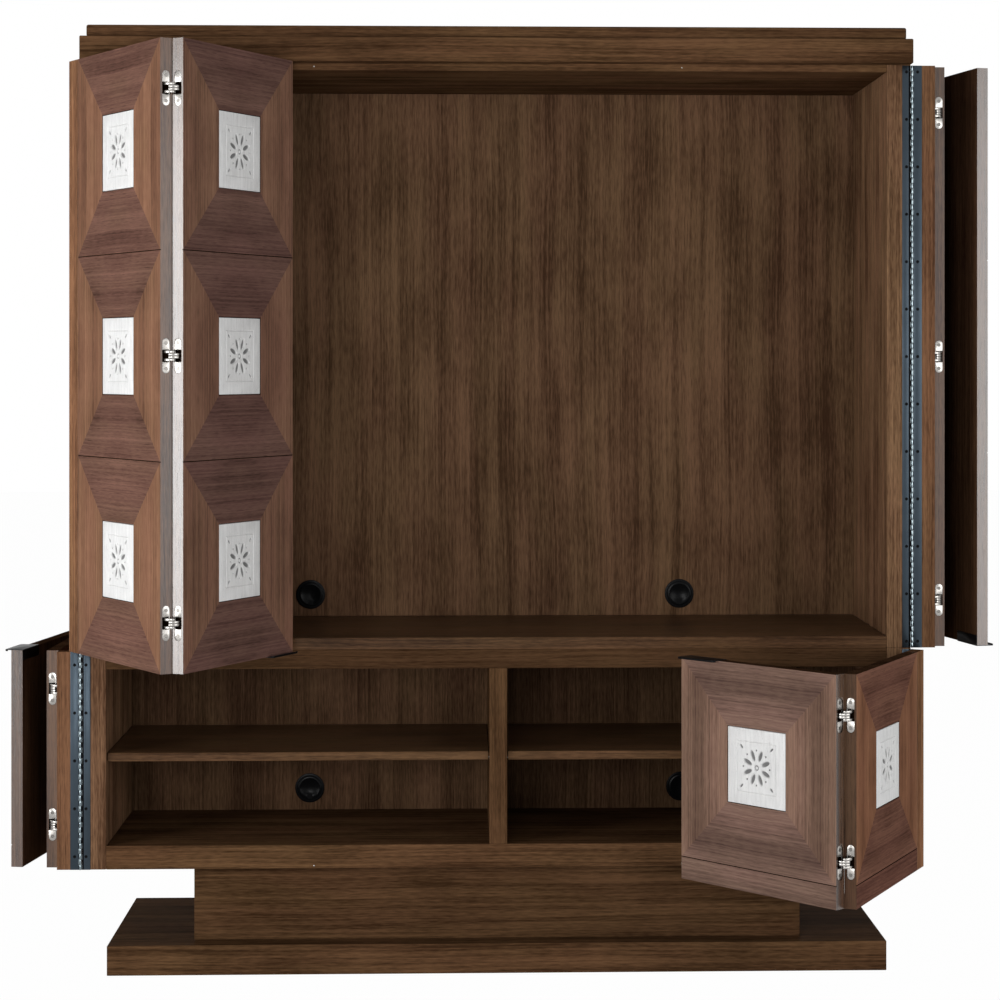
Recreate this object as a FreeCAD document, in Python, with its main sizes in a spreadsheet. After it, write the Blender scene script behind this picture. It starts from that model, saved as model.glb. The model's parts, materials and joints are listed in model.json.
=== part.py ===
import FreeCAD, Part
import math
import os
import re

import Sketcher
from FreeCAD import Placement, Rotation, Vector

# Display cabinet on a pedestal: two open cases, one on the other, closed by four tri-fold doors.
# Millimetres and degrees. X runs to the right, Y from front to back, Z up.
# The origin is the centre of the plinth's underside.

SIZES = {
    # Base
    "plinth_width": 1680, "plinth_depth": 480, "plinth_height": 64, "plinth_projection": 25,
    "pedestal_width": 1317, "pedestal_depth": 378, "pedestal_height": 159, "pedestal_setback": 51,
    "pedestal_board": 22,
    # Cases
    "case_width": 1795, "case_depth": 475, "side_thickness": 52.5, "back_thickness": 15,
    "lower_height": 472, "lower_floor": 50.5, "lower_ceiling": 41, "lower_inner_depth": 424,
    "divider_thickness": 38.6,
    "upper_height": 1268.5, "deck_thickness": 26, "upper_ceiling": 16.5,
    "crown_width": 1797, "crown_height": 53, "crown_projection": 28, "crown_board": 40,
    "cap_height": 25.5, "cap_setback": 13, "arris": 1.2,
    # Shelves
    "shelf_thickness": 18.5, "shelf_height": 180.5, "shelf_setback": 10, "shelf_clearance": 1.5,
    "shelf_pin_radius": 2.5, "shelf_pin_reach": 10, "shelf_pin_inset": 55,
    # Cable grommets
    "grommet_spacing": 866, "grommet_rise": 51, "grommet_flange": 34, "grommet_sleeve": 30,
    "grommet_bore": 26.5, "grommet_lip": 2.5, "grommet_cap": 3,
    # Doors, measured from the piano hinge's pin towards the middle of the cabinet
    "hinge_overhang": 2.5, "hinge_standoff": 1.5, "stile_start": 2.7, "stile_end": 50.5,
    "fold_gap": 2, "panel_size": 422, "door_thickness": 25, "bottom_strip": 47.5, "upper_door_gap": 0.5,
    "groove_width": 2, "groove_depth": 1.5, "tile_size": 158, "tile_thickness": 8,
    # Piano hinges
    "piano_reach": 21.5, "piano_clearance": 3, "piano_plate": 1.2, "piano_end_gap": 0,
    "knuckle_radius": 2.5, "knuckle_gap": 0.4, "pin_radius": 1.2, "pin_clearance": 0.05,
    # Invisible hinges
    "plate_length": 70, "plate_width": 16, "plate_thickness": 2.5, "mortise_depth": 19.5,
    "mortise_half_height": 12, "arm_inner_radius": 13.5, "arm_outer_radius": 18, "arm_thickness": 4.8,
    "arm_pitch": 5.3, "arm_tip_angle": 11.5, "arm_root_angle": 105, "arm_slack": 0.4,
    "slot_rim": 1.8, "fold_axis_offset": 0.3,
    # Tab pulls
    "pull_length": 105, "pull_plate": 1.2, "pull_projection": 15, "pull_flange": 22, "pull_lip": 2.4,
}

# Opening angles at rest, as the doors stand: stile swing, first leaf fold, second leaf fold.
DOORS = {
    "upper_left": {"side": -1, "swing": 58.9, "back_fold": 0, "fold": 121.9},
    "upper_right": {"side": 1, "swing": 180, "back_fold": 92, "fold": 170},
    "lower_left": {"side": -1, "swing": 180, "back_fold": 92, "fold": 172.8},
    "lower_right": {"side": 1, "swing": 63.1, "back_fold": 0, "fold": 111.5},
}

# Heights of the invisible hinges above the foot of a leaf, and knuckles of a piano hinge.
HINGE_HEIGHTS = {"upper": (101, 633, 1166), "lower": (93, 387)}
KNUCKLES = {"upper": 15, "lower": 7}
PANELS = {"upper": 3, "lower": 1}

# Formulas in the sheet's words
FRONT = "plinth_projection - plinth_depth / 2"
BACK = f"{FRONT} + case_depth"
OUTER = "case_width / 2"
INNER = f"{OUTER} - side_thickness"
LOWER_FOOT = "plinth_height + pedestal_height"
LOWER_FLOOR = f"{LOWER_FOOT} + lower_floor"
JOINT = f"{LOWER_FOOT} + lower_height"
LOWER_CEILING = f"{JOINT} - lower_ceiling"
DECK = f"{JOINT} + deck_thickness"
CROWN_FOOT = f"{JOINT} + upper_height"
UPPER_CEILING = f"{CROWN_FOOT} - upper_ceiling"
CAP_FOOT = f"{CROWN_FOOT} + crown_height"
LOWER_BACK = f"{FRONT} + lower_inner_depth"
SHELF_FOOT = f"{LOWER_FLOOR} + shelf_height"
HINGE_X = f"{OUTER} + hinge_overhang"
HINGE_Y = f"{FRONT} - hinge_standoff"
FIRST_LEAF = "stile_end + fold_gap"
SECOND_LEAF = f"{FIRST_LEAF} + panel_size + fold_gap"
FREE_EDGE = f"{SECOND_LEAF} + panel_size"
INNER_FACE = "hinge_standoff"
SHOW_FACE = "hinge_standoff + door_thickness"

doc = FreeCAD.newDocument("display_cabinet")
sheet = doc.addObject("Spreadsheet::Sheet", "sizes")
for row, (alias, number) in enumerate(SIZES.items(), start=1):
    sheet.set(f"A{row}", alias.replace("_", " "))
    sheet.set(f"B{row}", str(number))
    sheet.setAlias(f"B{row}", alias)
doc.recompute()

nodes = []


def in_sheet_words(formula):
    """The formula with each of the sheet's names given its sheet."""
    return re.sub(r"[a-z]\w*", lambda word: "sizes." + word[0] if word[0] in SIZES else word[0], formula)


def bind(item, prop, formula):
    """Ties a property to a formula of sheet names."""
    item.setExpression(prop, in_sheet_words(formula))


def value(formula):
    """The number that a formula of sheet names gives."""
    return float(sheet.evalExpression(in_sheet_words(formula)))


def place(item, low):
    """Binds the three coordinates of an object's position."""
    for axis, formula in zip("xyz", low):
        bind(item, f"Placement.Base.{axis}", formula)


def box(name, low, high):
    """A plain box between two corners."""
    block = doc.addObject("Part::Box", name)
    for prop, start, end in zip(("Length", "Width", "Height"), low, high):
        bind(block, prop, f"({end}) - ({start})")
    place(block, low)
    return block


def board(name, low, high):
    """A sawn board between two corners, with its arrises broken."""
    body = doc.addObject("PartDesign::Body", name)
    ground = next(plane for plane in body.Origin.OriginFeatures if plane.Role == "XY_Plane")
    outline = body.newObject("Sketcher::SketchObject", f"{name}_outline")
    outline.AttachmentSupport = [(ground, "")]
    outline.MapMode = "FlatFace"
    length, width = (value(f"({high[i]}) - ({low[i]})") for i in (0, 1))
    corners = [Vector(0, 0), Vector(length, 0), Vector(length, width), Vector(0, width)]
    for start, end in zip(corners, corners[1:] + corners[:1]):
        outline.addGeometry(Part.LineSegment(start, end), False)
    for line in range(4):
        outline.addConstraint(Sketcher.Constraint("Coincident", line, 2, (line + 1) % 4, 1))
        outline.addConstraint(Sketcher.Constraint("Vertical" if line % 2 else "Horizontal", line))
    outline.addConstraint(Sketcher.Constraint("Coincident", 0, 1, -1, 1))
    for title, kind, line, axis in (("span", "DistanceX", 0, 0), ("reach", "DistanceY", 1, 1)):
        index = outline.addConstraint(Sketcher.Constraint(kind, line, 1, line, 2, (length, width)[axis]))
        outline.renameConstraint(index, title)
        outline.setExpression(f"Constraints.{title}", in_sheet_words(f"({high[axis]}) - ({low[axis]})"))
    pad = body.newObject("PartDesign::Pad", f"{name}_pad")
    pad.Profile = outline
    bind(pad, "Length", f"({high[2]}) - ({low[2]})")
    doc.recompute()
    arris = body.newObject("PartDesign::Chamfer", f"{name}_arris")
    arris.Base = (pad, ["Edge1"])
    arris.UseAllEdges = True
    bind(arris, "Size", "arris")
    place(body, low)
    return body


def cylinder(name, radius, length, start, axis="z", sweep=None, turn=0):
    """A round bar from a start point along an axis, or a wedge of one that begins at an angle about Z."""
    bar = doc.addObject("Part::Cylinder", name)
    bind(bar, "Radius", radius)
    bind(bar, "Height", length)
    if sweep:
        bind(bar, "Angle", sweep)
    turns = {
        "x": Rotation(Vector(0, 1, 0), 90),
        "y": Rotation(Vector(1, 0, 0), -90),
        "z": Rotation(Vector(0, 0, 1), turn),
    }
    bar.Placement = Placement(Vector(), turns[axis])
    place(bar, start)
    return bar


def fuse(name, pieces):
    """One solid from overlapping pieces."""
    union = doc.addObject("Part::MultiFuse", name)
    union.Shapes = pieces
    union.Refine = True
    return union


def cut(name, base, tools):
    """The base without the space of the tools."""
    result = doc.addObject("Part::Cut", name)
    result.Base = base
    result.Tool = tools[0] if len(tools) == 1 else group(f"{name}_tools", tools)
    return result


def group(name, pieces):
    """Separate solids kept together."""
    compound = doc.addObject("Part::Compound", name)
    compound.Links = pieces
    return compound


def node(item, label, placement=None):
    """Names a finished sub-part and sets where it stands."""
    item.Label = label
    if placement:
        item.Placement = placement
    nodes.append(item)


def mirrored(low, high):
    """The same span on the other side of the middle."""
    return f"-({high})", f"-({low})"


def base():
    """Plinth slab and the boards of the pedestal."""
    node(board("plinth", ("-plinth_width / 2", "-plinth_depth / 2", "0"),
               ("plinth_width / 2", "plinth_depth / 2", "plinth_height")), "plinth")
    front = "-plinth_depth / 2 + pedestal_setback"
    back = f"{front} + pedestal_depth"
    half = "pedestal_width / 2"
    foot, head = "plinth_height", LOWER_FOOT
    boards = [
        board("pedestal_front", (f"-{half}", front, foot), (half, f"{front} + pedestal_board", head)),
        board("pedestal_back", (f"-{half}", f"{back} - pedestal_board", foot), (half, back, head)),
    ]
    for title, (low, high) in (("left", mirrored(f"{half} - pedestal_board", half)),
                               ("right", (f"{half} - pedestal_board", half))):
        boards.append(board(f"pedestal_{title}", (low, f"{front} + pedestal_board", foot),
                            (high, f"{back} - pedestal_board", head)))
    node(group("pedestal", boards), "pedestal_boards")


def shelf_pin_bars():
    """The eight pins under the shelves, half in the wood and half under the shelf."""
    bars = []
    heights = f"{SHELF_FOOT} - shelf_pin_radius"
    depths = (f"{FRONT} + shelf_setback + shelf_pin_inset", f"{LOWER_BACK} - shelf_pin_inset")
    faces = (f"-({INNER})", "-divider_thickness / 2", "divider_thickness / 2", INNER)
    for face_index, face in enumerate(faces):
        for depth_index, depth in enumerate(depths):
            bars.append(cylinder(f"shelf_pin_{face_index}_{depth_index}", "shelf_pin_radius",
                                 "2 * shelf_pin_reach", (f"{face} - shelf_pin_reach", depth, heights), "x"))
    return bars


def lower_case():
    """Lower case with its divider, back, shelves and shelf pins."""
    node(board("lower_bottom", (f"-({INNER})", FRONT, LOWER_FOOT), (INNER, BACK, LOWER_FLOOR)),
         "lower_bottom")
    node(board("lower_top", (f"-({INNER})", FRONT, LOWER_CEILING), (INNER, BACK, JOINT)), "lower_top")
    pins = shelf_pin_bars()
    for title, (low, high), held in (("left", mirrored(INNER, OUTER), pins[:2]),
                                     ("right", (INNER, OUTER), pins[6:])):
        blank = board(f"lower_{title}_blank", (low, FRONT, LOWER_FOOT), (high, BACK, JOINT))
        node(cut(f"lower_{title}", blank, held), f"lower_{title}_side")
    half = "divider_thickness / 2"
    blank = board("divider_blank", (f"-{half}", FRONT, LOWER_FLOOR), (half, LOWER_BACK, LOWER_CEILING))
    node(cut("divider", blank, pins[2:6]), "lower_divider")
    node(group("pins", pins), "shelf_pins")
    shelves = []
    near, far = f"{half} + shelf_clearance", f"{INNER} - shelf_clearance"
    for title, (low, high) in (("left", mirrored(near, far)), ("right", (near, far))):
        shelves.append(board(f"shelf_{title}", (low, f"{FRONT} + shelf_setback", SHELF_FOOT),
                             (high, f"{LOWER_BACK} - shelf_clearance", f"{SHELF_FOOT} + shelf_thickness")))
    node(group("shelf_pair", shelves), "shelves")


def mitred_rail(name, length, middle, turn):
    """A rail of the crown with mitred ends, from the middle of its outer face's foot and a turn about Z."""
    rail = doc.addObject("Part::Wedge", name)
    half = f"({length}) / 2"
    limits = {
        "Xmin": f"-{half}", "Xmax": half, "X2min": f"crown_board - {half}", "X2max": f"{half} - crown_board",
        "Ymin": "0", "Ymax": "crown_board",
        "Zmin": "0", "Zmax": "crown_height", "Z2min": "0", "Z2max": "crown_height",
    }
    for prop, formula in limits.items():
        bind(rail, prop, formula)
    rail.Placement = Placement(Vector(), Rotation(Vector(0, 0, 1), turn))
    place(rail, middle)
    return rail


def upper_case():
    """Upper case, and the crown that sits on it."""
    node(board("upper_deck", (f"-({INNER})", FRONT, JOINT), (INNER, BACK, DECK)), "upper_deck")
    node(board("upper_top", (f"-({INNER})", FRONT, UPPER_CEILING), (INNER, BACK, CROWN_FOOT)), "upper_top")
    for title, (low, high) in (("left", mirrored(INNER, OUTER)), ("right", (INNER, OUTER))):
        node(board(f"upper_{title}", (low, FRONT, JOINT), (high, BACK, CROWN_FOOT)), f"upper_{title}_side")
    half = "crown_width / 2"
    near = f"{FRONT} - crown_projection"
    reach, middle = f"{BACK} - ({near})", f"({BACK} + {near}) / 2"
    node(group("crown", [
        mitred_rail("crown_front", "crown_width", ("0", near, CROWN_FOOT), 0),
        mitred_rail("crown_right", reach, (half, middle, CROWN_FOOT), 90),
        mitred_rail("crown_back", "crown_width", ("0", BACK, CROWN_FOOT), 180),
        mitred_rail("crown_left", reach, (f"-{half}", middle, CROWN_FOOT), 270),
    ]), "crown_moulding")
    node(board("crown_cap", (f"-{half} + cap_setback", f"{near} + cap_setback", CAP_FOOT),
               (f"{half} - cap_setback", f"{BACK} - cap_setback", f"{CAP_FOOT} + cap_height")), "crown_cap")


def backs_and_grommets():
    """Both back panels, bored for flanged cable grommets with caps."""
    grommets = []
    panels = (("lower", LOWER_BACK, LOWER_FLOOR, LOWER_CEILING),
              ("upper", f"{BACK} - back_thickness", DECK, UPPER_CEILING))
    for title, face, foot, head in panels:
        blank = board(f"{title}_back_blank", (f"-({INNER})", face, foot),
                      (INNER, f"{face} + back_thickness", head))
        sleeves = []
        for side in (-1, 1):
            tag = f"{title}_grommet_{'left' if side < 0 else 'right'}"
            spot = f"{side} * grommet_spacing / 2"
            height = f"{foot} + grommet_rise"
            proud = f"{face} - grommet_lip"
            sleeve = cylinder(f"{tag}_sleeve", "grommet_sleeve", "back_thickness", (spot, face, height), "y")
            flange = cylinder(f"{tag}_flange", "grommet_flange", "grommet_lip", (spot, proud, height), "y")
            bore = cylinder(f"{tag}_bore", "grommet_bore", "back_thickness + grommet_lip",
                            (spot, proud, height), "y")
            cap = cylinder(f"{tag}_cap", "grommet_bore", "grommet_cap", (spot, proud, height), "y")
            grommets += [cut(f"{tag}_ring", fuse(f"{tag}_blank", [sleeve, flange]), [bore]), cap]
            sleeves.append(sleeve)
        node(cut(f"{title}_back", blank, sleeves), f"{title}_back")
    node(group("grommets", grommets), "cable_grommets")


def span(side, near, far):
    """World X of a stretch measured inwards from the pin of a door's piano hinge."""
    if side > 0:
        return f"{HINGE_X} - ({far})", f"{HINGE_X} - ({near})"
    return f"({near}) - ({HINGE_X})", f"({far}) - ({HINGE_X})"


def closed_corners(side, along, out, height):
    """Corners of a block of a closed door: along it from the pin, outwards from the pin, and in height."""
    low_x, high_x = span(side, *along)
    low_y, high_y = f"{HINGE_Y} - ({out[1]})", f"{HINGE_Y} - ({out[0]})"
    return (low_x, low_y, height[0]), (high_x, high_y, height[1])


def door_heights(tier):
    """Foot and head of a door."""
    if tier == "upper":
        foot = f"{JOINT} + upper_door_gap"
        return foot, f"{foot} + {PANELS[tier]} * panel_size"
    return LOWER_FOOT, f"{LOWER_FOOT} + panel_size + bottom_strip"


def about(side, along, out, angle):
    """A turn of a closed door's piece about an upright axis."""
    x = side * (value(HINGE_X) - value(along))
    y = value(HINGE_Y) - value(out)
    return Placement(Vector(), Rotation(Vector(0, 0, 1), side * angle), Vector(x, y, 0))


# Upright axes of a door, along it from the pin and outwards from the pin
PIN_AXIS = ("0", "0")
BACK_FOLD_AXIS = ("stile_end + fold_gap / 2", SHOW_FACE)
FOLD_AXIS = (f"{SECOND_LEAF} - fold_gap / 2", f"{INNER_FACE} - fold_axis_offset")


def rest_placements(side, angles):
    """Where the stile and the two leaves stand at rest, from their closed places."""
    stile = about(side, *PIN_AXIS, angles["swing"])
    first = stile * about(side, *BACK_FOLD_AXIS, angles["back_fold"])
    second = first * about(side, *FOLD_AXIS, -angles["fold"])
    return {"stile": stile, "first_leaf": first, "second_leaf": second}


def piano_hinge(tag, side, tier):
    """Carcass leaf, door leaf and pin of one continuous hinge."""
    foot, head = door_heights(tier)
    low, high = f"{foot} + piano_end_gap", f"{head} - piano_end_gap"
    count = KNUCKLES[tier]
    pitch = f"({high} - ({low})) / {count}"
    plates = {"carcass": ("-hinge_standoff", "-hinge_standoff + piano_plate"),
              "door": ("hinge_standoff - piano_plate", "hinge_standoff")}
    pin_x = f"{side} * ({HINGE_X})"
    leaves = {}
    for first, (title, out) in enumerate(plates.items()):
        name = f"{tag}_{title}_piano"
        strip = ("piano_clearance", "piano_reach")
        pieces = [box(f"{name}_strip", *closed_corners(side, strip, out, (low, high)))]
        for knuckle in range(first, count, 2):
            start = f"{low} + {knuckle} * {pitch} + knuckle_gap / 2"
            length = f"{pitch} - knuckle_gap"
            pieces.append(cylinder(f"{name}_knuckle_{knuckle}", "knuckle_radius", length,
                                   (pin_x, HINGE_Y, start)))
            pieces.append(box(f"{name}_tab_{knuckle}",
                              *closed_corners(side, ("0", "piano_clearance"), out,
                                              (start, f"{start} + {length}"))))
        bore = cylinder(f"{name}_bore", "pin_radius + pin_clearance", f"{high} - ({low})",
                        (pin_x, HINGE_Y, low))
        leaves[title] = cut(name, fuse(f"{name}_blank", pieces), [bore])
    leaves["pin"] = cylinder(f"{tag}_pin", "pin_radius", f"{high} - ({low})", (pin_x, HINGE_Y, low))
    return leaves


class HingeHalf:
    """One edge plate of an invisible hinge, with arms that turn about the fold's own axis.

    Into the leaf is measured along it from the axis, and deep is measured into its thickness.
    """

    def __init__(self, tag, side, axis, into, deep, middle, face):
        self.tag, self.side, self.axis = tag, side, axis
        self.into, self.deep, self.middle = into, deep, middle
        self.centre = f"{face} + door_thickness / 2"

    def block(self, name, into, deep, rise):
        """A box in the hinge's own directions."""
        spans = []
        for sign, (near, far), origin in zip((self.into, self.deep), (into, deep), self.axis):
            ends = (near, far) if sign > 0 else (f"-({far})", f"-({near})")
            spans.append(tuple(f"{origin} + {end}" for end in ends))
        height = tuple(f"{self.middle} + {level}" for level in rise)
        return box(f"{self.tag}_{name}", *closed_corners(self.side, *spans, height))

    def plate(self):
        """The round-ended plate let into the edge."""
        edge, back = "fold_gap / 2", "fold_gap / 2 + plate_thickness"
        half, straight = "plate_width / 2", "(plate_length - plate_width) / 2"
        middle = self.block("web", (edge, back), (f"{self.centre} - {half}", f"{self.centre} + {half}"),
                            (f"-{straight}", straight))
        along = f"{self.axis[0]} + {'' if self.into > 0 else '-'}({edge if self.into > 0 else back})"
        start_x = span(self.side, along, f"{along} + plate_thickness")[0]
        sign = "-" if self.deep > 0 else "+"
        start_y = f"{HINGE_Y} - ({self.axis[1]}) {sign} ({self.centre})"
        ends = [cylinder(f"{self.tag}_end_{title}", half, "plate_thickness",
                         (start_x, start_y, f"{self.middle} + {level}"), "x")
                for title, level in (("low", f"-{straight}"), ("high", straight))]
        return fuse(f"{self.tag}_plate", [middle, *ends])

    def mortise(self):
        """The pocket behind the plate, where the other half's arms go."""
        deep = ("arm_inner_radius * sin(arm_tip_angle) - arm_slack", "arm_outer_radius + arm_slack")
        return self.block("mortise", ("fold_gap / 2 + plate_thickness", "mortise_depth"), deep,
                          ("-mortise_half_height", "mortise_half_height"))

    def arm(self, title, foot):
        """A ring sector about the axis, rooted in this plate and reaching into the other leaf."""
        spot = (f"{self.side} * ({HINGE_X} - ({self.axis[0]}))", f"{HINGE_Y} - ({self.axis[1]})",
                f"{self.middle} + {foot}")
        first = value("180 - arm_root_angle")
        last = value("180 - arm_tip_angle")
        same_hand = self.side * self.into * self.deep > 0
        start = math.radians(first if same_hand else last)
        across = -self.side * self.into * math.cos(start)
        turn = math.degrees(math.atan2(-self.deep * math.sin(start), across))
        outer = cylinder(f"{self.tag}_{title}_outer", "arm_outer_radius", "arm_thickness", spot,
                         sweep="arm_root_angle - arm_tip_angle", turn=turn)
        inner = cylinder(f"{self.tag}_{title}_inner", "arm_inner_radius", "arm_thickness", spot)
        return cut(f"{self.tag}_{title}", outer, [inner])

    def slot(self, title, low, high):
        """The opening in the plate that the other half's arms pass through."""
        return self.block(f"slot_{title}", ("fold_gap / 2", "fold_gap / 2 + plate_thickness"),
                          (f"{self.centre} - plate_width / 2 + slot_rim", "arm_outer_radius + arm_slack"),
                          (low, high))

    def build(self, carrier):
        """The finished half and the pieces that its seat is cut with."""
        gap = "(arm_pitch - arm_thickness) / 2"
        near, far = gap, f"arm_pitch + {gap}"
        own, other = (far, near) if carrier else (near, far)
        plate = self.plate()
        arms = [self.arm("arm_high", own), self.arm("arm_low", f"-({own}) - arm_thickness")]
        if carrier:
            slots = [self.slot("middle", "-arm_pitch", "arm_pitch")]
        else:
            slots = [self.slot("high", "arm_pitch", "2 * arm_pitch"),
                     self.slot("low", "-2 * arm_pitch", "-arm_pitch")]
        pierced = cut(f"{self.tag}_pierced", plate, slots)
        return fuse(f"{self.tag}_half", [pierced, *arms]), [plate, self.mortise()]


def fold_hinges(tag, side, tier):
    """Invisible hinges of both folds: halves and seats by the piece that carries them."""
    halves = {"stile": [], "first_leaf": [], "second_leaf": []}
    seats = {"stile": [], "first_leaf": [], "second_leaf": []}
    foot = door_heights(tier)[0]
    folds = (("back", BACK_FOLD_AXIS, -1, "0", "stile", "first_leaf"),
             ("fold", FOLD_AXIS, 1, "fold_axis_offset", "first_leaf", "second_leaf"))
    for title, axis, deep, face, carrier, carried in folds:
        for number, height in enumerate(HINGE_HEIGHTS[tier]):
            for owner, into in ((carrier, -1), (carried, 1)):
                half = HingeHalf(f"{tag}_{title}_{number}_{owner}", side, axis, into, deep,
                                 f"{foot} + {height}", face)
                solid, tools = half.build(owner == carrier)
                halves[owner].append(solid)
                seats[owner] += tools
    return halves, seats


def leaf_inlays(tag, side, tier, start):
    """Tiles of one leaf, with the recesses and grooves that its face is cut with."""
    foot, head = door_heights(tier)
    tiles, cutters = [], []
    first_panel = foot if tier == "upper" else f"{head} - panel_size"
    inset = "(panel_size - tile_size) / 2"
    depth = (f"{SHOW_FACE} - tile_thickness", SHOW_FACE)
    for panel in range(PANELS[tier]):
        low = f"{first_panel} + {panel} * panel_size + {inset}"
        place_of_tile = closed_corners(side, (f"{start} + {inset}", f"{start} + {inset} + tile_size"),
                                       depth, (low, f"{low} + tile_size"))
        tiles.append(board(f"{tag}_tile_{panel}", *place_of_tile))
        cutters.append(box(f"{tag}_recess_{panel}", *place_of_tile))
    lines = range(1, PANELS[tier]) if tier == "upper" else (0,)
    for line in lines:
        middle = f"{first_panel} + {line} * panel_size"
        cutters.append(box(f"{tag}_groove_{line}", *closed_corners(
            side, (start, f"{start} + panel_size"), (f"{SHOW_FACE} - groove_depth", SHOW_FACE),
            (f"{middle} - groove_width / 2", f"{middle} + groove_width / 2"))))
    return tiles, cutters


def tab_pull(tag, side, tier):
    """A bent plate on the end of the second leaf: under an upper door, over a lower one."""
    foot, head = door_heights(tier)
    along = (f"{FREE_EDGE} - pull_length", FREE_EDGE)
    edge, outward = (foot, -1) if tier == "upper" else (head, 1)

    def rise(near, far):
        ends = [f"{edge} + {outward} * ({level})" for level in (near, far)]
        return ends if outward > 0 else ends[::-1]

    back, front = f"{INNER_FACE} - pull_plate", f"{SHOW_FACE} + pull_projection"
    return fuse(f"{tag}_pull", [
        box(f"{tag}_pull_top", *closed_corners(side, along, (back, front), rise("0", "pull_plate"))),
        box(f"{tag}_pull_flange", *closed_corners(side, along, (back, INNER_FACE),
                                                  rise("-pull_flange", "pull_plate"))),
        box(f"{tag}_pull_lip", *closed_corners(side, along, (f"{front} - pull_plate", front),
                                               rise("-pull_lip", "pull_plate"))),
    ])


def door(name, angles):
    """One tri-fold door, modelled closed and set at its resting angles."""
    side = angles["side"]
    tier = name.split("_")[0]
    height = door_heights(tier)
    thick = (INNER_FACE, SHOW_FACE)
    places = rest_placements(side, angles)
    halves, seats = fold_hinges(name, side, tier)
    starts = {"stile": ("stile_start", "stile_end"),
              "first_leaf": (FIRST_LEAF, f"{FIRST_LEAF} + panel_size"),
              "second_leaf": (SECOND_LEAF, FREE_EDGE)}
    for piece, along in starts.items():
        tag = f"{name}_{piece}"
        blank = board(f"{tag}_blank", *closed_corners(side, along, thick, height))
        cutters = seats[piece]
        if piece != "stile":
            tiles, inlay_cutters = leaf_inlays(tag, side, tier, along[0])
            cutters = cutters + inlay_cutters
            node(group(f"{tag}_tile_set", tiles), f"{tag}_tiles", places[piece])
        node(cut(f"{tag}_board", blank, cutters), tag, places[piece])
        node(group(f"{tag}_plates", halves[piece]), f"{tag}_hinge_plates", places[piece])
    node(tab_pull(name, side, tier), f"{name}_pull", places["second_leaf"])
    hinge = piano_hinge(name, side, tier)
    node(hinge["door"], f"{name}_stile_hinge_leaf", places["stile"])
    return hinge["carcass"], hinge["pin"]


base()
lower_case()
upper_case()
backs_and_grommets()
fixed_hinge_parts = [door(name, angles) for name, angles in DOORS.items()]
node(group("piano_leaves", [leaf for leaf, pin in fixed_hinge_parts]), "carcass_hinge_leaves")
node(group("piano_pins", [pin for leaf, pin in fixed_hinge_parts]), "hinge_pins")
doc.recompute()

for item in doc.Objects:
    if "Invalid" in item.State or "Error" in item.State:
        raise RuntimeError(f"{item.Name} failed: {item.State}")
for item in nodes:
    if item.Shape.isNull() or not item.Shape.isValid() or not item.Shape.Solids:
        raise RuntimeError(f"{item.Label} has no valid solid")

os.makedirs("parts", exist_ok=True)
for item in nodes:
    item.Shape.exportStep(f"parts/{item.Label}.step")
print(len(nodes), "sub-parts,", sum(len(item.Shape.Solids) for item in nodes), "solids")
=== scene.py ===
"""Looks of a display cabinet with tri-fold doors: veneers, tiles, hinges and fittings round its frame."""
import json
import math

import bmesh
import bpy
from bpy.props import FloatProperty, FloatVectorProperty, IntProperty, PointerProperty
from mathutils import Matrix, Vector


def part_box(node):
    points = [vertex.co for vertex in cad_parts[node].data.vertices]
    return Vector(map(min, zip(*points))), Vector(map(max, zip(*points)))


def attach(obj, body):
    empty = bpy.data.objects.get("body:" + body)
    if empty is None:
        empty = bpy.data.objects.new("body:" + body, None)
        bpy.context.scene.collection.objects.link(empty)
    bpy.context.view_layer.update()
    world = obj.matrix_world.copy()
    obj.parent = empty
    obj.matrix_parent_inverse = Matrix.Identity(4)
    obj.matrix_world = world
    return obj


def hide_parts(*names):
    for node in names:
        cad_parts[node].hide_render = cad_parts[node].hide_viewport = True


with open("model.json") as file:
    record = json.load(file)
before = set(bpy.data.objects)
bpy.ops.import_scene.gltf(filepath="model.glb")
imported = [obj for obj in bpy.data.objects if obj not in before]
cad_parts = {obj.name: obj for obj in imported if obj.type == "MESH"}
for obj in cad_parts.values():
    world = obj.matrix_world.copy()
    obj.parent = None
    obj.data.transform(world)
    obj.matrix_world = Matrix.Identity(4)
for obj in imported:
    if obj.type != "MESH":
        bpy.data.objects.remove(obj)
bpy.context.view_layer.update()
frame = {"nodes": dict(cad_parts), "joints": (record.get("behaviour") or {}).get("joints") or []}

bl_info = {
    "name": "Display Cabinet Looks",
    "version": (1, 0, 0),
    "blender": (4, 5, 0),
    "location": "View3D > Sidebar > Cabinet",
    "description": "Veneers, inlays, hinges and fittings of a display cabinet with folding doors",
    "category": "Object",
}

JOINTS = {joint["name"]: joint for joint in frame["joints"]}
LEAVES = ("first_leaf", "second_leaf")
BOARDS = ("stile", *LEAVES)
# Finish of the narrow edges of each door's first and second leaf.
EDGES = {
    "upper_left": ("Waxed", "Lacquered"),
    "upper_right": ("Waxed", "Lacquered"),
    "lower_left": ("Waxed", "Lacquered"),
    "lower_right": ("Oiled", "Lacquered"),
}
DOORS = tuple(EDGES)

# Marks that a leaf or a tile carries for its material.
GRAIN_MAP = "veneer"
FLITCH = "flitch"
# The tint mark holds each leaf's tint: painted light, shade and sheen.
TINT_AND_LIGHT = "tint"
MITRE = "mitre"
CARVING = "carving"

# Contrast of streaks, lines and flecks.
FIGURED, PLAIN, MITRED = (1.3, 1.4, 1.3), (1.5, 1.7, 1.2), (0.9, 1.3, 0.6)
# Specular level, coat weight and least roughness.
MATTE, DULL, SATIN = (0.0, 0.0, 0.5), (0.0004, 0.0, 0.24), (0.05, 0.0, 0.24)
OILED, WAXED, LACQUERED = (0.10, 0.0, 0.3), (0.35, 0.3, 0.24), (0.5, 0.92, 0.18)
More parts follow.
